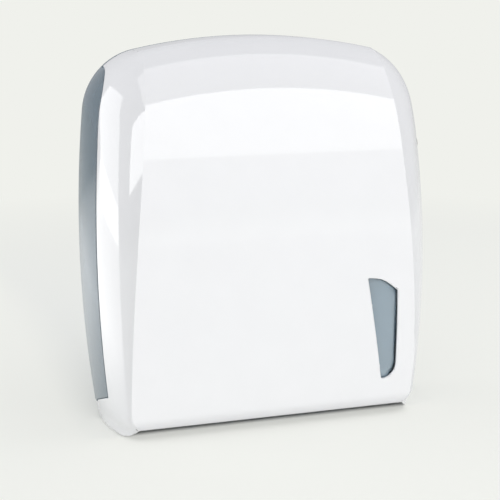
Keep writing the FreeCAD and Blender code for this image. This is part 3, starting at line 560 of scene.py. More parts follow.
@dataclass
class FrontCover:
    """White drop-down cover: one glossy shell with its window opening, hinge bosses and latch posts.

    Its heights start at the standing plane, except where a method hands them to the form.
    """

    wall: float = 2.6
    # Radius of the rounded rims and the facets that they are rounded with.
    rim: float = 1.15
    rim_segments: int = 3
    # An edge that turns by more than this is a rim, unless it lies in the fold between roof and shoulder.
    rim_angle: float = math.radians(60)
    fold_x: float = 98.0
    fold_y: float = 42.0
    fold_height: float = 338.0
    # Faces of the skin: across the panel, round each shoulder, up the belly and over the brow.
    strip_columns: int = 56
    shoulder_columns: int = 30
    belly_rows: int = 84
    brow_rows: int = 40
    # The skin starts below the standing plane, so that trimming leaves no gap at the foot.
    skin_foot: float = -14.0
    # First guess of the crease's half width, and how often it is put right.
    crease_guess: float = 125.0
    crease_rounds: int = 12
    # How near the crease's line an edge's ends have to lie to be part of it.
    crease_reach: float = 0.05
    # Vertices this near each other are joined: in the cut skin, and then for the notch's rim.
    merge: float = 0.15
    weld: float = 0.9
    # Edges this short are slivers: in the skin, and after the window is carved.
    sliver: float = 0.02
    carved_sliver: float = 0.01
    # Vertices this near a cutting plane count as on it.
    on_plane: float = 0.01
    # Heights of the extra cuts that keep the round about the hinge round, and how near the others lie to
    # where the parting line turns.
    hinge_cuts: tuple[float, ...] = (0.3, 1.0, 2.0, 3.5, 5.0, 7.0)
    sill_cut: float = 0.02
    top_cut: float = 0.1
    # The parting line: its gap to the base, the hinge's depth and the round about it, which is also the
    # hinge's height.
    seam: float = 0.6
    hinge_depth: float = 16.0
    hub: float = 10.0
    # The notch's bowed front: its radius, and the depth and height at which it reaches furthest forwards.
    bow: float = 1180.0
    bow_depth: float = 55.0
    bow_height: float = 110.0
    # The notch's sill, the round of its top corner, its top and the back plate's thickness.
    sill: float = 34.5
    corner: float = 36.0
    notch_top: float = 328.0
    back_plate: float = 3.0
    # The hinge bosses and the latch posts start at an x and end inside the shoulder by an inset.
    boss_x: float = 142.5
    boss_radius: float = 6.0
    boss_inset: float = 1.0
    post_x: float = 138.05
    post_radius: float = 4.0
    post_depth: float = 65.0
    post_heights: tuple[float, float] = (250.0, 270.0)
    post_inset: float = 0.9
    stub_sides: int = 40
    stub_round: float = 0.4
    # The window's tool runs from in front of the cover to well behind its wall.
    tool_front: float = -80.0
    tool_length: float = 60.0

    @property
    def window(self) -> list[tuple[float, float]]:
        """The window's outline: two sharp corners above, a bowed crown, and one wide round corner below."""
        crown = [(86.4, 137.0), (90.5, 136.7), (95.0, 136.1), (99.5, 135.1), (104.0, 133.0), (108.3, 130.0)]
        edge = [(112.4, 126.9), (116.2, 123.7), (117.4, 86.0), (118.1, 55.0)]
        foot = arc((104.6, 51.0), 13.5, 0.0, -84.0, 12)
        return [*crown, *edge, *foot, (104.3, 37.8)]

    def skin(self) -> bmesh.types.BMesh:
        """Return the whole outer surface, from the lower edge over the brow to the wall plane."""
        half = self.strip_columns // 2
        across = half + self.shoulder_columns
        rows = self.belly_rows + self.brow_rows
        surface = bmesh.new()
        bmesh.ops.create_grid(surface, x_segments=2 * across, y_segments=rows, size=1.0)
        for vert in surface.verts:
            column = round(vert.co.x * across)
            row = round((vert.co.y + 1) / 2 * rows)
            vert.co = self.skin_point(column, row, half)
        self.add_roof(surface, half)
        bmesh.ops.remove_doubles(surface, verts=surface.verts, dist=self.sliver * MM)
        bmesh.ops.recalc_face_normals(surface, faces=surface.faces)
        outward = sum((face.normal.y * face.calc_area() for face in surface.faces), 0.0)
        if outward > 0:
            bmesh.ops.reverse_faces(surface, faces=surface.faces)
        return surface

    def add_roof(self, surface: bmesh.types.BMesh, half: int) -> None:
        """Add the level roof behind the brow to the skin.

        Args:
            surface: the skin.
            half: columns from the middle to the crease.
        """
        roof = bmesh.new()
        bmesh.ops.create_grid(roof, x_segments=2 * half, y_segments=self.shoulder_columns, size=1.0)
        for vert in roof.verts:
            column = round(vert.co.x * half)
            step = round((vert.co.y + 1) / 2 * self.shoulder_columns)
            vert.co = self.roof_point(column / half, step)
        joined = bpy.data.meshes.new("roof")
        roof.to_mesh(joined)
        roof.free()
        surface.from_mesh(joined)
        bpy.data.meshes.remove(joined)

    def row_height(self, x: float, row: int) -> float:
        """Return the form's height of a row of the skin at an x.

        Args:
            x: half width of the place.
            row: number of the row, from the foot up.

        Returns:
            The height; rows lie evenly over the belly and by angle over the brow.
        """
        start = FORM.arch(x) - FORM.brow_rise
        if row <= self.belly_rows:
            return self.skin_foot + (start - self.skin_foot) * row / self.belly_rows
        turn = (row - self.belly_rows) / self.brow_rows * math.pi / 2
        return start + FORM.brow_rise * math.sin(turn)

    def crease_of(self, row: int) -> tuple[float, float]:
        """Return the half width and the form's height at which a row meets the crease."""
        x = self.crease_guess
        for _ in range(self.crease_rounds):
            height = self.row_height(x, row)
            x = FORM.crease(height)
        if row == self.belly_rows + self.brow_rows:
            return FORM.outline(height), height
        return x, height

    def skin_point(self, column: int, row: int, half: int) -> Vector:
        """Return the place of one vertex of the skin.

        Args:
            column: number of the column, 0 in the middle.
            row: number of the row, from the foot up.
            half: columns from the middle to the crease.

        Returns:
            The place in metres.
        """
        side = -1 if column < 0 else 1
        crease, level = self.crease_of(row)
        if abs(column) <= half:
            part = abs(column) / half
            x = crease * part
            height = self.row_height(x, row)
            return FORM.place(side * x, FORM.panel_depth(x, height), height)
        return self.shoulder_point(side, crease, level, abs(column) - half)

    def shoulder_point(self, side: int, crease: float, level: float, step: int) -> Vector:
        """Return the place of a vertex round the shoulder.

        Args:
            side: -1 for the left shoulder and 1 for the right one.
            crease: half width at the crease.
            level: the form's height.
            step: columns from the crease; the last one lies on the wall plane.

        Returns:
            The place in metres.
        """
        top = FORM.panel_depth(crease, level)
        if step == self.shoulder_columns:
            return FORM.place(side * max(FORM.outline(level), crease), 0.0, level)
        turn = step / (self.shoulder_columns - 1) * math.pi / 2
        x, depth = FORM.side(crease, top, level, turn)
        return FORM.place(side * x, depth, level)

    def roof_point(self, part: float, step: int) -> Vector:
        """Return the place of a vertex of the roof.

        Args:
            part: share of the way from the middle to the right crease.
            step: rows from the brow; the last one lies on the wall plane.

        Returns:
            The place in metres.
        """
        last = self.belly_rows + self.brow_rows
        crease, _ = self.crease_of(last)
        x = crease * part
        height = FORM.arch(x)
        top = FORM.panel_depth(x, height)
        if step == self.shoulder_columns:
            return FORM.place(x, 0.0, height)
        turn = step / (self.shoulder_columns - 1) * math.pi / 2
        return FORM.place(x, FORM.side(abs(x), top, height, turn)[1], height)

    def parting_depth(self, height: float) -> float:
        """Return the depth of the parting line at a height.

        From the bottom it is the round about the hinge, the sloping sill, the bowed front of the notch, its
        round top and the edge in front of the back plate.

        Args:
            height: height above the standing plane.

        Returns:
            The depth from the wall plane.
        """
        hinge_d, hub = self.hinge_depth, self.hub
        bow_d, bow = self.bow_depth - self.bow, self.bow + self.seam
        sill = self.sill - self.seam
        nose = bow_d + math.sqrt(bow**2 - (sill - self.bow_height) ** 2)
        reach = math.hypot(nose - hinge_d, sill - hub)
        lean = math.atan2(sill - hub, nose - hinge_d) + math.acos(hub / reach)
        touch_d, touch_z = hinge_d + hub * math.cos(lean), hub + hub * math.sin(lean)
        corner, top = self.corner + self.seam, self.notch_top + self.seam
        corner_d = bow_d + math.sqrt((bow - corner) ** 2 - (top - corner - self.bow_height) ** 2)
        turn_z = self.bow_height + (top - corner - self.bow_height) * bow / (bow - corner)
        if height <= touch_z:
            return hinge_d - math.sqrt(max(hub**2 - (height - hub) ** 2, 0.0))
        if height <= sill:
            return touch_d + (nose - touch_d) * (height - touch_z) / (sill - touch_z)
        if height <= turn_z:
            return bow_d + math.sqrt(bow**2 - (height - self.bow_height) ** 2)
        if height < top:
            return corner_d + math.sqrt(max(corner**2 - (height - top + corner) ** 2, 0.0))
        return self.back_plate + self.seam

    def trim(self, surface: bmesh.types.BMesh) -> None:
        """Cut the open skin along the parting line and along the cheeks' lower edge, and weld its slivers.

        Each edge is curved, so the skin is sheared until the edge lies in a plane, cut there and sheared
        back. The last weld is for the notch's rim, but it joins any two vertices that lie this near each
        other, also at the folds beside the roof.

        Args:
            surface: the skin, which is cut in place.
        """
        near = self.on_plane * MM
        sill = self.sill - self.seam
        turns = (sill - self.sill_cut, sill + self.sill_cut, self.notch_top + self.seam - self.top_cut)
        for height in (*self.hinge_cuts, *turns):
            cut_across(surface, Vector((0, 0, height)) * MM, ALONG_Z, near)
        for vert in surface.verts:
            vert.co.y += self.parting_depth(vert.co.z / MM) * MM
        cut_across(surface, Vector((0, FORM.wall, 0)) * MM, ALONG_Y, near, clear=True)
        for vert in surface.verts:
            vert.co.y -= self.parting_depth(vert.co.z / MM) * MM
        for vert in surface.verts:
            vert.co.z -= FORM.toe(FORM.wall - vert.co.y / MM) * MM
        cut_across(surface, Vector((0, 0, FORM.lift)) * MM, -ALONG_Z, near, clear=True)
        for vert in surface.verts:
            vert.co.z += FORM.toe(FORM.wall - vert.co.y / MM) * MM
        bmesh.ops.remove_doubles(surface, verts=surface.verts, dist=self.merge * MM)
        bmesh.ops.remove_doubles(surface, verts=self.notch_rim(surface), dist=self.weld * MM)
        rim = self.notch_rim(surface)
        close = bmesh.ops.find_doubles(surface, verts=surface.verts, keep_verts=rim, dist=self.weld * MM)
        bmesh.ops.weld_verts(surface, targetmap=close["targetmap"])
        bmesh.ops.dissolve_degenerate(surface, edges=surface.edges, dist=self.sliver * MM)

    def notch_rim(self, surface: bmesh.types.BMesh) -> list[bmesh.types.BMVert]:
        """Return the open skin's rim vertices between the heights of the sill and of the notch's top."""
        low, high = self.sill * MM, self.notch_top * MM
        return [vert for vert in surface.verts if vert.is_boundary and low < vert.co.z < high]

    def mark_creases(self, surface: bmesh.types.BMesh) -> None:
        """Keep the two lines between the panel and its shoulders crisp.

        Args:
            surface: the skin, whose crease edges are marked sharp.
        """
        for edge in surface.edges:
            on_crease = True
            for vert in edge.verts:
                height, depth = vert.co.z / MM - FORM.lift, FORM.wall - vert.co.y / MM
                crease = FORM.crease(height)
                away = math.hypot(abs(vert.co.x) / MM - crease, depth - FORM.panel_depth(crease, height))
                on_crease = on_crease and away < self.crease_reach
            edge.smooth = not on_crease

    def round_rims(self, shell: bmesh.types.BMesh) -> None:
        """Round the shell's rims, but leave the sharp fold where the roof meets each shoulder.

        Args:
            shell: the thickened shell, which is bevelled in place.
        """
        rims = []
        for edge in shell.edges:
            middle = (edge.verts[0].co + edge.verts[1].co) / (2 * MM)
            fold = abs(middle.x) > self.fold_x and middle.z > self.fold_height and middle.y < self.fold_y
            if edge.calc_face_angle(0.0) > self.rim_angle and not fold:
                rims.append(edge)
        bmesh.ops.bevel(
            shell,
            geom=rims,
            offset=self.rim * MM,
            offset_type="OFFSET",
            segments=self.rim_segments,
            profile=0.5,
            affect="EDGES",
            clamp_overlap=False,
            material=-1,
        )

    def window_tool(self) -> bmesh.types.BMesh:
        """Return the tool that opens the level window."""
        points = [(x, self.tool_front, z) for x, z in self.window]
        return prism(points, Vector((0.0, self.tool_length, 0.0)))

    def fittings(self, shell: bmesh.types.BMesh) -> None:
        """Add the hinge bosses and the latch posts inside the shell.

        Args:
            shell: the shell, which gets them as further closed parts.
        """
        outer = FORM.side_at(self.hinge_depth, -FORM.lift) - self.boss_inset
        for side in (-1, 1):
            centre = (side * (self.boss_x + outer) / 2, FORM.wall - self.hinge_depth, self.hub)
            self.stub(shell, centre, outer - self.boss_x, self.boss_radius)
        for height in self.post_heights:
            upper = height + self.post_radius - FORM.lift
            outer = FORM.side_at(self.post_depth + self.post_radius, upper) - self.post_inset
            centre = ((self.post_x + outer) / 2, FORM.wall - self.post_depth, height)
            self.stub(shell, centre, outer - self.post_x, self.post_radius)

    def stub(
        self, shell: bmesh.types.BMesh, centre: tuple[float, float, float], length: float, radius: float
    ) -> None:
        """Add one round boss that lies along X.

        Args:
            shell: the shell that gets the boss.
            centre: the middle of the boss, in millimetres.
            length: its length.
            radius: its radius.
        """
        turn = Matrix.Translation(Vector(centre) * MM) @ Matrix.Rotation(math.pi / 2, 4, "Y")
        made = bmesh.ops.create_cone(
            shell,
            cap_ends=True,
            segments=self.stub_sides,
            radius1=radius * MM,
            radius2=radius * MM,
            depth=length * MM,
            matrix=turn,
        )
        edges = {edge for vert in made["verts"] for edge in vert.link_edges}
        bmesh.ops.bevel(
            shell,
            geom=[edge for edge in edges if edge.calc_face_angle(0.0) > 1.0],
            offset=self.stub_round * MM,
            offset_type="OFFSET",
            segments=2,
            profile=0.5,
            affect="EDGES",
            material=-1,
        )

    def build(self, material: bpy.types.Material) -> bpy.types.Object:
        """Build the cover, dress it and set it on its body.

        Args:
            material: the cover's white plastic.

        Returns:
            The cover.
        """
        surface = self.skin()
        self.trim(surface)
        self.mark_creases(surface)
        blank = make_object("cover_blank", surface)
        thicken = blank.modifiers.new("thicken", "SOLIDIFY")
        thicken.thickness = self.wall * MM
        thicken.offset = -1.0
        carve(blank, [self.window_tool()])
        shell = bmesh.new()
        shell.from_mesh(blank.data)
        discard(blank)
        bmesh.ops.dissolve_degenerate(shell, edges=shell.edges, dist=self.carved_sliver * MM)
        self.round_rims(shell)
        self.fittings(shell)
        piece = make_object("cover_shell", shell, smooth_under=30.0)
        dress(piece, material)
        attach(piece, "cover")
        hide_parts("front_cover")
        return piece


@dataclass
class Lens:
    """Smoked lens of the level window: a bowed plate behind the opening.

    A moat, in which the plate lies deeper, runs along its crown and its outer edge.
    """

    # How far it lies behind the panel's surface, its thickness, and how far it runs on behind the panel.
    set_back: float = 3.2
    thickness: float = 2.4
    overlap: float = 4.0
    moat: float = 1.9
    moat_depth: float = 5.0
    # It bows back by this much at this distance from its middle.
    bow: float = 1.6
    bow_width: float = 16.0
    rings: int = 10
    # The last rings, past the opening: share of the overlap reached, and share of the moat's depth.
    outer_rings: tuple[tuple[float, float], ...] = ((0.3, 0.15), (0.5, 1.0), (1.0, 1.0))
    # Where the straight inner edge is divided, from its foot up.
    inner_parts: tuple[float, ...] = (0.3, 0.6, 0.9, 0.97)
    # How many points at the end of the outline have no moat.
    plain_points: int = 6

    def rim(self, outline: list[tuple[float, float]]) -> list[tuple[float, float, float]]:
        """Return the outline with its inner edge divided, and how far the moat is open at each point.

        Args:
            outline: the window's outline, as x and height.

        Returns:
            The points as x, height and the moat's share.
        """
        first, last = Vector(outline[0]), Vector(outline[-1])
        inner_edge = [last.lerp(first, part) for part in self.inner_parts]
        turned = len(outline) - self.plain_points
        rim = [(x, z, 1.0 if index < turned else 0.0) for index, (x, z) in enumerate(outline)]
        return rim + [(point.x, point.y, 0.0) for point in inner_edge]

    def plate(self, outline: list[tuple[float, float]]) -> bmesh.types.BMesh:
        """Return the lens's front face as rings round the middle of the window.

        Args:
            outline: the window's outline, as x and height.

        Returns:
            The open face, turned to the front.
        """
        rim = self.rim(outline)
        middle_x = sum(x for x, _, _ in rim) / len(rim)
        middle_z = sum(z for _, z, _ in rim) / len(rim)
        plate = bmesh.new()
        inner = [plate.verts.new(self.seat(middle_x, middle_z, middle_x, 0.0))] * len(rim)
        steps = [(ring / self.rings, 0.0, 0.0) for ring in range(1, self.rings + 1)]
        steps += [(1.0, out, down) for out, down in self.outer_rings]
        for reach, out, down in steps:
            outer = []
            for x, z, is_open in rim:
                arm = math.hypot(x - middle_x, z - middle_z)
                edge = arm - self.moat * is_open
                grown = (edge * reach + (arm + self.overlap - edge) * out) / arm
                spot_x, spot_z = middle_x + (x - middle_x) * grown, middle_z + (z - middle_z) * grown
                sunk = self.moat_depth * down * is_open
                outer.append(plate.verts.new(self.seat(spot_x, spot_z, middle_x, sunk)))
            for index in range(len(rim)):
                after = (index + 1) % len(rim)
                corners = [inner[index], outer[index], outer[after], inner[after]]
                plate.faces.new(list(dict.fromkeys(corners)))
            inner = outer
        bmesh.ops.recalc_face_normals(plate, faces=plate.faces)
        if sum(face.normal.y for face in plate.faces) > 0:
            bmesh.ops.reverse_faces(plate, faces=plate.faces)
        return plate

    def seat(self, x: float, z: float, middle: float, sunk: float) -> Vector:
        """Return a point of the lens's front face.

        Args:
            x: its place across.
            z: its height above the standing plane.
            middle: x of the lens's middle, from which it bows back.
            sunk: how much deeper it lies in the moat.

        Returns:
            The place in metres.
        """
        height = z - FORM.lift
        bowed = self.bow * ((x - middle) / self.bow_width) ** 2
        depth = FORM.panel_depth(x, height) - self.set_back - bowed
        return FORM.place(x, depth - sunk, height)

    def build(self, outline: list[tuple[float, float]], material: bpy.types.Material) -> bpy.types.Object:
        """Build the lens, dress it and set it on its body.

        Args:
            outline: the window's outline, as x and height.
            material: the lens's smoked plastic.

        Returns:
            The lens.
        """
        plate = self.plate(outline)
        bmesh.ops.solidify(plate, geom=plate.faces[:], thickness=self.thickness * MM)
        piece = make_object("window_lens", plate, smooth_under=40.0)
        dress(piece, material)
        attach(piece, "cover")
        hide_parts("level_window")
        return piece


@dataclass
class LatchFittings:
    """Steel hook and its screws on the cover: CAD meshes, clipped where the rounded shoulder is narrower."""

    # The hook's corner is clipped at 45 degrees through this depth and height.
    clip_depth: float = 67.0
    clip_height: float = 272.0
    # The screws end at this x.
    tip_x: float = 141.2
    merge: float = 0.005
    on_plane: float = 0.002

    def build(
        self, nodes: dict[str, bpy.types.Object], steel: bpy.types.Material, zinc: bpy.types.Material
    ) -> None:
        """Build the hook and the screws from copies of their CAD meshes.

        Args:
            nodes: the CAD objects by node name.
            steel: material of the hook.
            zinc: material of the screws.
        """
        corner = Vector((0.0, FORM.wall - self.clip_depth, self.clip_height)) * MM
        hook = self.clipped(nodes["latch_hook"], "hook_plate", corner, (ALONG_Z - ALONG_Y).normalized())
        dress(hook, steel)
        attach(hook, "cover")
        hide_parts("latch_hook")
        tips = Vector((self.tip_x, 0.0, 0.0)) * MM
        screws = self.clipped(nodes["hook_screws"], "plate_screws", tips, Vector((1.0, 0.0, 0.0)))
        dress(screws, zinc)
        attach(screws, "cover")
        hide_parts("hook_screws")

    def clipped(self, source: bpy.types.Object, name: str, point: Vector, normal: Vector) -> bpy.types.Object:
        """Return a copy of a CAD piece, cut flat where it passes a plane.

        Args:
            source: the CAD piece.
            name: name of the copy.
            point: a point of the plane, in metres.
            normal: the plane's normal, on whose side the piece is cut off.

        Returns:
            The closed copy.
        """
        copy = merged_copy(source, self.merge * MM)
        rim = cut_across(copy, point, normal, self.on_plane * MM, clear=True)
        bmesh.ops.edgeloop_fill(copy, edges=rim)
        bmesh.ops.recalc_face_normals(copy, faces=copy.faces)
        LOG.info("%s: %d open edges", name, sum(1 for edge in copy.edges if len(edge.link_faces) != 2))
        return make_object(name, copy, smooth_under=30.0)


# ---------------------------------------------------------------- smoked base


@dataclass
class SmokedBase:
    """Smoked back moulding: its CAD mesh, with the side walls drawn in to the rounded form of the cover."""

    # The CAD's shoulder: a fillet that starts at this depth.
    fillet: float = 50.0
    fillet_start: float = 50.0
    # What lies nearer the middle or the wall than this stays where it is.
    still_x: float = 102.4
    still_depth: float = 0.5
    # The drawing in grows from a share of the crease's half width to an inset from the CAD's side.
    start_share: float = 0.94
    full_inset: float = 6.0
    # It fades out near the foot, and from the arch up it is the same as there.
    fade_from: float = 6.0
    fade_over: float = 14.0
    arch_x: float = 111.0
    arch_inset: float = 2.0
    # Cuts that give the mesh enough vertices to bend, and how far they reach.
    depth_cuts: int = 16
    depth_reach: float = 60.0
    height_cuts: int = 30
    height_reach: float = 350.0
    merge: float = 0.005
    on_plane: float = 0.02

    def cad_side(self, depth: float, height: float) -> float:
        """Return the CAD half width at a depth and height."""
        past = held(depth - self.fillet_start, 0.0, self.fillet)
        return FORM.outline(height) - self.fillet + math.sqrt(self.fillet**2 - past**2)

    def drawn_in(self, point: Vector) -> Vector:
        """Return a vertex of the base moved to the rounded form.

        Args:
            point: its place in metres.

        Returns:
            The new place in metres.
        """
        x, depth, height = point.x / MM, FORM.wall - point.y / MM, point.z / MM - FORM.lift
        if abs(x) < self.still_x or depth < self.still_depth:
            return point
        level = held(height, 0.0, FORM.arch(self.arch_x) - self.arch_inset)
        start = FORM.crease(level) * self.start_share
        part = held((abs(x) - start) / (self.cad_side(depth, level) - self.full_inset - start))
        part = part * part * (3 - 2 * part)
        shift = FORM.side_at(depth, level) - self.cad_side(depth, level)
        fade = held((height + FORM.lift - self.fade_from) / self.fade_over)
        return Vector(((abs(x) + shift * part * fade) * math.copysign(1.0, x) * MM, point.y, point.z))

    def build(self, source: bpy.types.Object, material: bpy.types.Material) -> bpy.types.Object:
        """Build the base from a copy of its CAD mesh, dress it and set it on its body.

        Args:
            source: the CAD base.
            material: the base's smoked plastic.

        Returns:
            The base.
        """
        copy = merged_copy(source, self.merge * MM)
        near = self.on_plane * MM
        for index in range(1, self.depth_cuts):
            level = FORM.wall - self.depth_reach * index / self.depth_cuts
            cut_across(copy, Vector((0, level, 0)) * MM, ALONG_Y, near)
        for index in range(1, self.height_cuts):
            level = self.height_reach * index / self.height_cuts
            cut_across(copy, Vector((0, 0, level)) * MM, ALONG_Z, near)
        for vert in copy.verts:
            vert.co = self.drawn_in(vert.co)
        piece = make_object("base_shell", copy, smooth_under=30.0)
        dress(piece, material)
        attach(piece, "base")
        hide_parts("rear_base")
        return piece


# ---------------------------------------------------------------- carried-over CAD nodes


@dataclass(frozen=True)
class Hardware:
    """The CAD nodes that keep their shape, by finish."""

    finishes: tuple[tuple[Finish, tuple[str, ...]], ...] = (
        (GREY_ABS, ("towel_tray", "side_guide_left", "side_guide_right")),
        (ACETAL, ("hinge_bush_left", "hinge_bush_right")),
        (NYLON, ("lock_body",)),
        (STEEL, ("hinge_pin_left", "hinge_pin_right", "lock_cam", "cam_washer")),
        (ZINC, ("tray_screws", "guide_screws", "lock_nut", "lock_barrel", "cam_screw")),
    )

    def build(self, nodes: dict[str, bpy.types.Object]) -> None:
        """Dress every node that is shown as it is.

        Args:
            nodes: the CAD objects by node name.
        """
        for finish, names in self.finishes:
            material = finish.build()
            for name in names:
                dress(nodes[name], material)
                LOG.info("%s: %s", name, finish.name)


# ---------------------------------------------------------------- studio


@dataclass(frozen=True)
class SoftBox:
    """A rectangular lamp in metres, which may light matt surfaces, be mirrored in gloss, or both."""

    name: str
    spot: tuple[float, float, float]
    target: tuple[float, float, float]
    size: tuple[float, float]
    radiance: float
    lights: bool = True
    mirrored: bool = True


@dataclass
class Studio:
    """Pale floor, soft lamps and the camera. Lengths are in metres, but the eye and lens in millimetres.

    A pair of limits says where a mask on the floor starts and where it is full. Near is towards the camera.
    """

    floor_colour: str = "#f0f1ec"
    floor_paint: str = "#f9faf5"
    floor_half: float = 60.0
    world_strength: float = 0.69
    # The floor's shadow is filled with painted light by this share, the even colour shown to the camera,
    # apart from a strip close under the panel, which keeps its real shade.
    fill: float = 0.62
    open_aside: tuple[float, float] = (0.13, 0.18)
    open_ahead: tuple[float, float] = (-0.012, -0.021)
    open_far: tuple[float, float] = (0.45, 1.3)
    # Patches of the floor that glow white for glossy rays only, painted reflections on the glossy pieces:
    # their strength, and the second one's share of it.
    sheet: float = 2.45
    side_share: float = 0.65
    # The glowing patch in front: its left edge, its near and far edges, and its slanting right edge. Its far
    # edge fades out just before the panel, a painted shade for the dispenser's shadow in the reflection.
    front_left: tuple[float, float] = (-0.14, -0.125)
    front_near: tuple[float, float] = (-1.66, -1.64)
    front_far: tuple[float, float] = (-0.05, -0.065)
    front_slope: float = 0.45
    front_right: tuple[float, float] = (0.3, 0.2)
    # The glowing patch beside the left wall: its right edge, its near edge and its slanting far edge.
    beside_right: tuple[float, float] = (-0.15, -0.4)
    beside_near: tuple[float, float] = (-0.04, -0.02)
    beside_slope: float = 0.7
    beside_far: tuple[float, float] = (1.0, 0.2)
    eye: tuple[float, float, float] = (-361.5, -1073.3, 402.5)
    yaw: float = 18.01
    pitch: float = 12.09
    lens: float = 90.0
    boxes: tuple[SoftBox, ...] = (
        SoftBox("high_card", (-0.48, -1.65, 1.10), (-0.48, 0.0, 1.10), (4.45, 1.24), 2.4, lights=False),
        SoftBox("low_card", (0.775, -1.65, 0.24), (0.775, 0.0, 0.24), (1.95, 0.48), 1.75, lights=False),
        SoftBox("ceiling_softbox", (0.6, -1.2, 2.2), (0.6, -1.2, 0.0), (3.6, 2.0), 0.8),
        SoftBox("left_softbox", (-2.0, 0.68, 0.85), (0.0, 0.68, 0.85), (1.42, 1.7), 1.4),
        SoftBox("right_softbox", (2.2, -0.5, 1.3), (0.0, 0.0, 0.17), (1.6, 1.6), 1.0, mirrored=False),
    )

    def floor(self) -> bpy.types.Object:
        """Build the floor: matt near the dispenser with painted light partly filling its shadow, an even pale
        ground further off, and patches that glow white for gloss only, painted reflections.
        """
        ground = bmesh.new()
        bmesh.ops.create_grid(ground, x_segments=24, y_segments=24, size=self.floor_half)
        piece = make_object("floor", ground)
        material = bpy.data.materials.new("pale_floor")
        tree = empty_tree(material)
        place = add_node(tree, "TexCoord")
        parts = add_node(tree, "SeparateXYZ", {"Vector": (place, "Object")})
        path = add_node(tree, "LightPath")
        # Painted light: by this mask, camera rays see the even colour over the floor's shadow, lifting it.
        spread = self.painted_fill_share(tree, place, parts)
        seen = add_node(
            tree, "Math", {0: (spread, "Value"), 1: (path, "Is Camera Ray")}, operation="MULTIPLY"
        )
        grain = add_node(tree, "TexNoise", {"Vector": (place, "Object"), "Scale": 260.0, "Detail": 2.0})
        relief = add_node(tree, "Bump", {"Height": (grain, "Fac"), "Distance": 0.05 * MM})
        matt = add_node(
            tree,
            "BsdfPrincipled",
            {
                "Base Color": linear(self.floor_paint),
                "Roughness": 0.85,
                "Specular IOR Level": 0.2,
                "Normal": (relief, "Normal"),
            },
        )
        even = add_node(tree, "Emission", {"Color": linear(self.floor_colour), "Strength": 1.0})
        ground_mix = {0: (seen, "Value"), 1: (matt, "BSDF"), 2: (even, "Emission")}
        plain = add_node(tree, "MixShader", ground_mix)
        # Painted reflection: where this mask is set, the floor glows white for glossy rays only.
        reflection_patches = self.reflection_patch_share(tree, parts)
        mirrored = add_node(
            tree, "Math", {0: (reflection_patches, "Value"), 1: (path, "Is Glossy Ray")}, operation="MULTIPLY"
        )
        sheet = add_node(tree, "Emission", {"Color": linear("#ffffff"), "Strength": self.sheet})
        reflection_mix = {0: (mirrored, "Value"), 1: (plain, "Shader"), 2: (sheet, "Emission")}
        mixed = add_node(tree, "MixShader", reflection_mix)
        add_node(tree, "OutputMaterial", {"Surface": (mixed, "Shader")})
        dress(piece, material)
        return piece

    def painted_fill_share(
        self, tree: bpy.types.NodeTree, place: bpy.types.Node, parts: bpy.types.Node
    ) -> bpy.types.Node:
        """Return the mask by which the even colour paints light into the floor's shadow, in part near by and
        wholly far off.

        Args:
            tree: the floor's node tree.
            place: the texture coordinates.
            parts: the place on the floor, by axis.

        Returns:
            The node whose "Value" output is the mask.
        """
        reach = add_node(tree, "VectorMath", {0: (place, "Object")}, operation="LENGTH")
        aside = add_node(tree, "Math", {0: (parts, "X")}, operation="ABSOLUTE")
        left_right = self.band(tree, (aside, "Value"), self.open_aside)
        ahead = self.band(tree, (parts, "Y"), self.open_ahead)
        clear = add_node(tree, "Math", {0: (left_right, "Value"), 1: (ahead, "Value")}, operation="MAXIMUM")
        filled = add_node(tree, "Math", {0: (clear, "Value"), 1: self.fill}, operation="MULTIPLY")
        far = self.band(tree, (reach, "Value"), self.open_far)
        return add_node(tree, "Math", {0: (filled, "Value"), 1: (far, "Value")}, operation="MAXIMUM")

    def reflection_patch_share(self, tree: bpy.types.NodeTree, parts: bpy.types.Node) -> bpy.types.Node:
        """Return the mask of the floor's glowing patches, painted reflections, one in front of the panel and
        one beside the left wall.

        Args:
            tree: the floor's node tree.
            parts: the place on the floor, by axis.

        Returns:
            The node whose "Value" output is the mask.
        """
        across, along = (parts, "X"), (parts, "Y")
        slant = add_node(
            tree, "Math", {0: along, 1: self.front_slope, 2: across}, operation="MULTIPLY_ADD"
        )
        front = self.band(tree, across, self.front_left)
        front = self.band(tree, (slant, "Value"), self.front_right, front)
        front = self.band(tree, along, self.front_near, front)
        front = self.band(tree, along, self.front_far, front)
        behind = add_node(
            tree, "Math", {0: across, 1: self.beside_slope, 2: along}, operation="MULTIPLY_ADD"
        )
        beside = self.band(tree, across, self.beside_right)
        beside = self.band(tree, along, self.beside_near, beside)
        beside = self.band(tree, (behind, "Value"), self.beside_far, beside)
        beside = add_node(tree, "Math", {0: (beside, "Value"), 1: self.side_share}, operation="MULTIPLY")
        return add_node(tree, "Math", {0: (front, "Value"), 1: (beside, "Value")}, operation="MAXIMUM")

    def band(
        self,
        tree: bpy.types.NodeTree,
        source: tuple[bpy.types.Node, str],
        limits: tuple[float, float],
        inner: bpy.types.Node | None = None,
    ) -> bpy.types.Node:
        """Return a mask that rises from 0 to 1 as a value goes from one limit to the other.

        Args:
            tree: the node tree.
            source: the value, as (node, output name).
            limits: where the mask is 0 and where it is 1.
            inner: another mask to keep within, if any.

        Returns:
            The node whose "Value" output is the mask.
        """
        ramp = add_node(tree, "MapRange", {"Value": source, "From Min": limits[0], "From Max": limits[1]})
        kept = {0: (ramp, "Result"), 1: (inner, "Value") if inner else 1.0}
        return add_node(tree, "Math", kept, operation="MULTIPLY")

    def world(self) -> None:
        """Light the room evenly and show the floor's colour beyond the floor."""
        world = bpy.data.worlds.new("studio")
        bpy.context.scene.world = world
        tree = empty_tree(world)
        path = add_node(tree, "LightPath")
        room = add_node(tree, "Background", {"Color": linear("#f6f7fa"), "Strength": self.world_strength})
        ground = add_node(tree, "Background", {"Color": linear(self.floor_colour), "Strength": 1.0})
        shares = {0: (path, "Is Camera Ray"), 1: (room, "Background"), 2: (ground, "Background")}
        mixed = add_node(tree, "MixShader", shares)
        add_node(tree, "OutputWorld", {"Surface": (mixed, "Shader")})

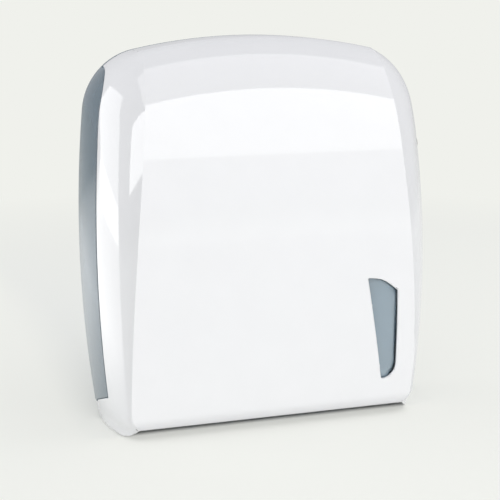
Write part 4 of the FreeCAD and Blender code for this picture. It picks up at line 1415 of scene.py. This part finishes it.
    def lamp(self, box: SoftBox) -> None:
        """Add one soft box.

        Args:
            box: its place, size and strength, and what sees it.
        """
        light = bpy.data.lights.new(box.name, "AREA")
        light.shape = "RECTANGLE"
        light.size, light.size_y = box.size
        light.energy = box.radiance * math.pi * box.size[0] * box.size[1]
        lamp = bpy.data.objects.new(box.name, light)
        lamp.location = box.spot
        lamp.rotation_euler = (Vector(box.target) - Vector(box.spot)).to_track_quat("-Z", "Y").to_euler()
        lamp.visible_camera = False
        lamp.visible_diffuse = box.lights
        lamp.visible_glossy = box.mirrored
        bpy.context.scene.collection.objects.link(lamp)

    def camera(self) -> None:
        """Set the camera at its place and angle."""
        data = bpy.data.cameras.new("view")
        data.lens = self.lens
        data.sensor_width = 36.0
        data.clip_start = 0.05
        data.clip_end = 200.0
        camera = bpy.data.objects.new("view", data)
        camera.location = Vector(self.eye) * MM
        camera.rotation_euler = (math.radians(90 - self.pitch), 0.0, math.radians(-self.yaw))
        bpy.context.scene.collection.objects.link(camera)
        bpy.context.scene.camera = camera

    def build(self) -> None:
        """Build the floor, the light and the camera."""
        self.floor()
        self.world()
        for box in self.boxes:
            self.lamp(box)
        self.camera()
        bpy.context.scene.view_settings.view_transform = "Standard"


def run_step(name: str, step: Callable[[], object]) -> None:
    """Run one step of the build and report it."""
    step()
    LOG.info("%s done", name)


def main() -> None:
    """Build every piece in order."""
    logging.basicConfig(level=logging.INFO, format="%(name)s: %(message)s")
    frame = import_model()
    nodes = frame["nodes"]
    cover = FrontCover()
    run_step("front cover", lambda: cover.build(WHITE_ABS.build()))
    run_step("window lens", lambda: Lens().build(cover.window, LENS_STYRENE.build()))
    run_step("smoked base", lambda: SmokedBase().build(nodes["rear_base"], SMOKE_STYRENE.build()))
    run_step("latch fittings", lambda: LatchFittings().build(nodes, STEEL.build(), ZINC.build()))
    run_step("hardware", lambda: Hardware().build(nodes))
    run_step("studio", lambda: Studio().build())


if __name__ == "__main__":
    main()
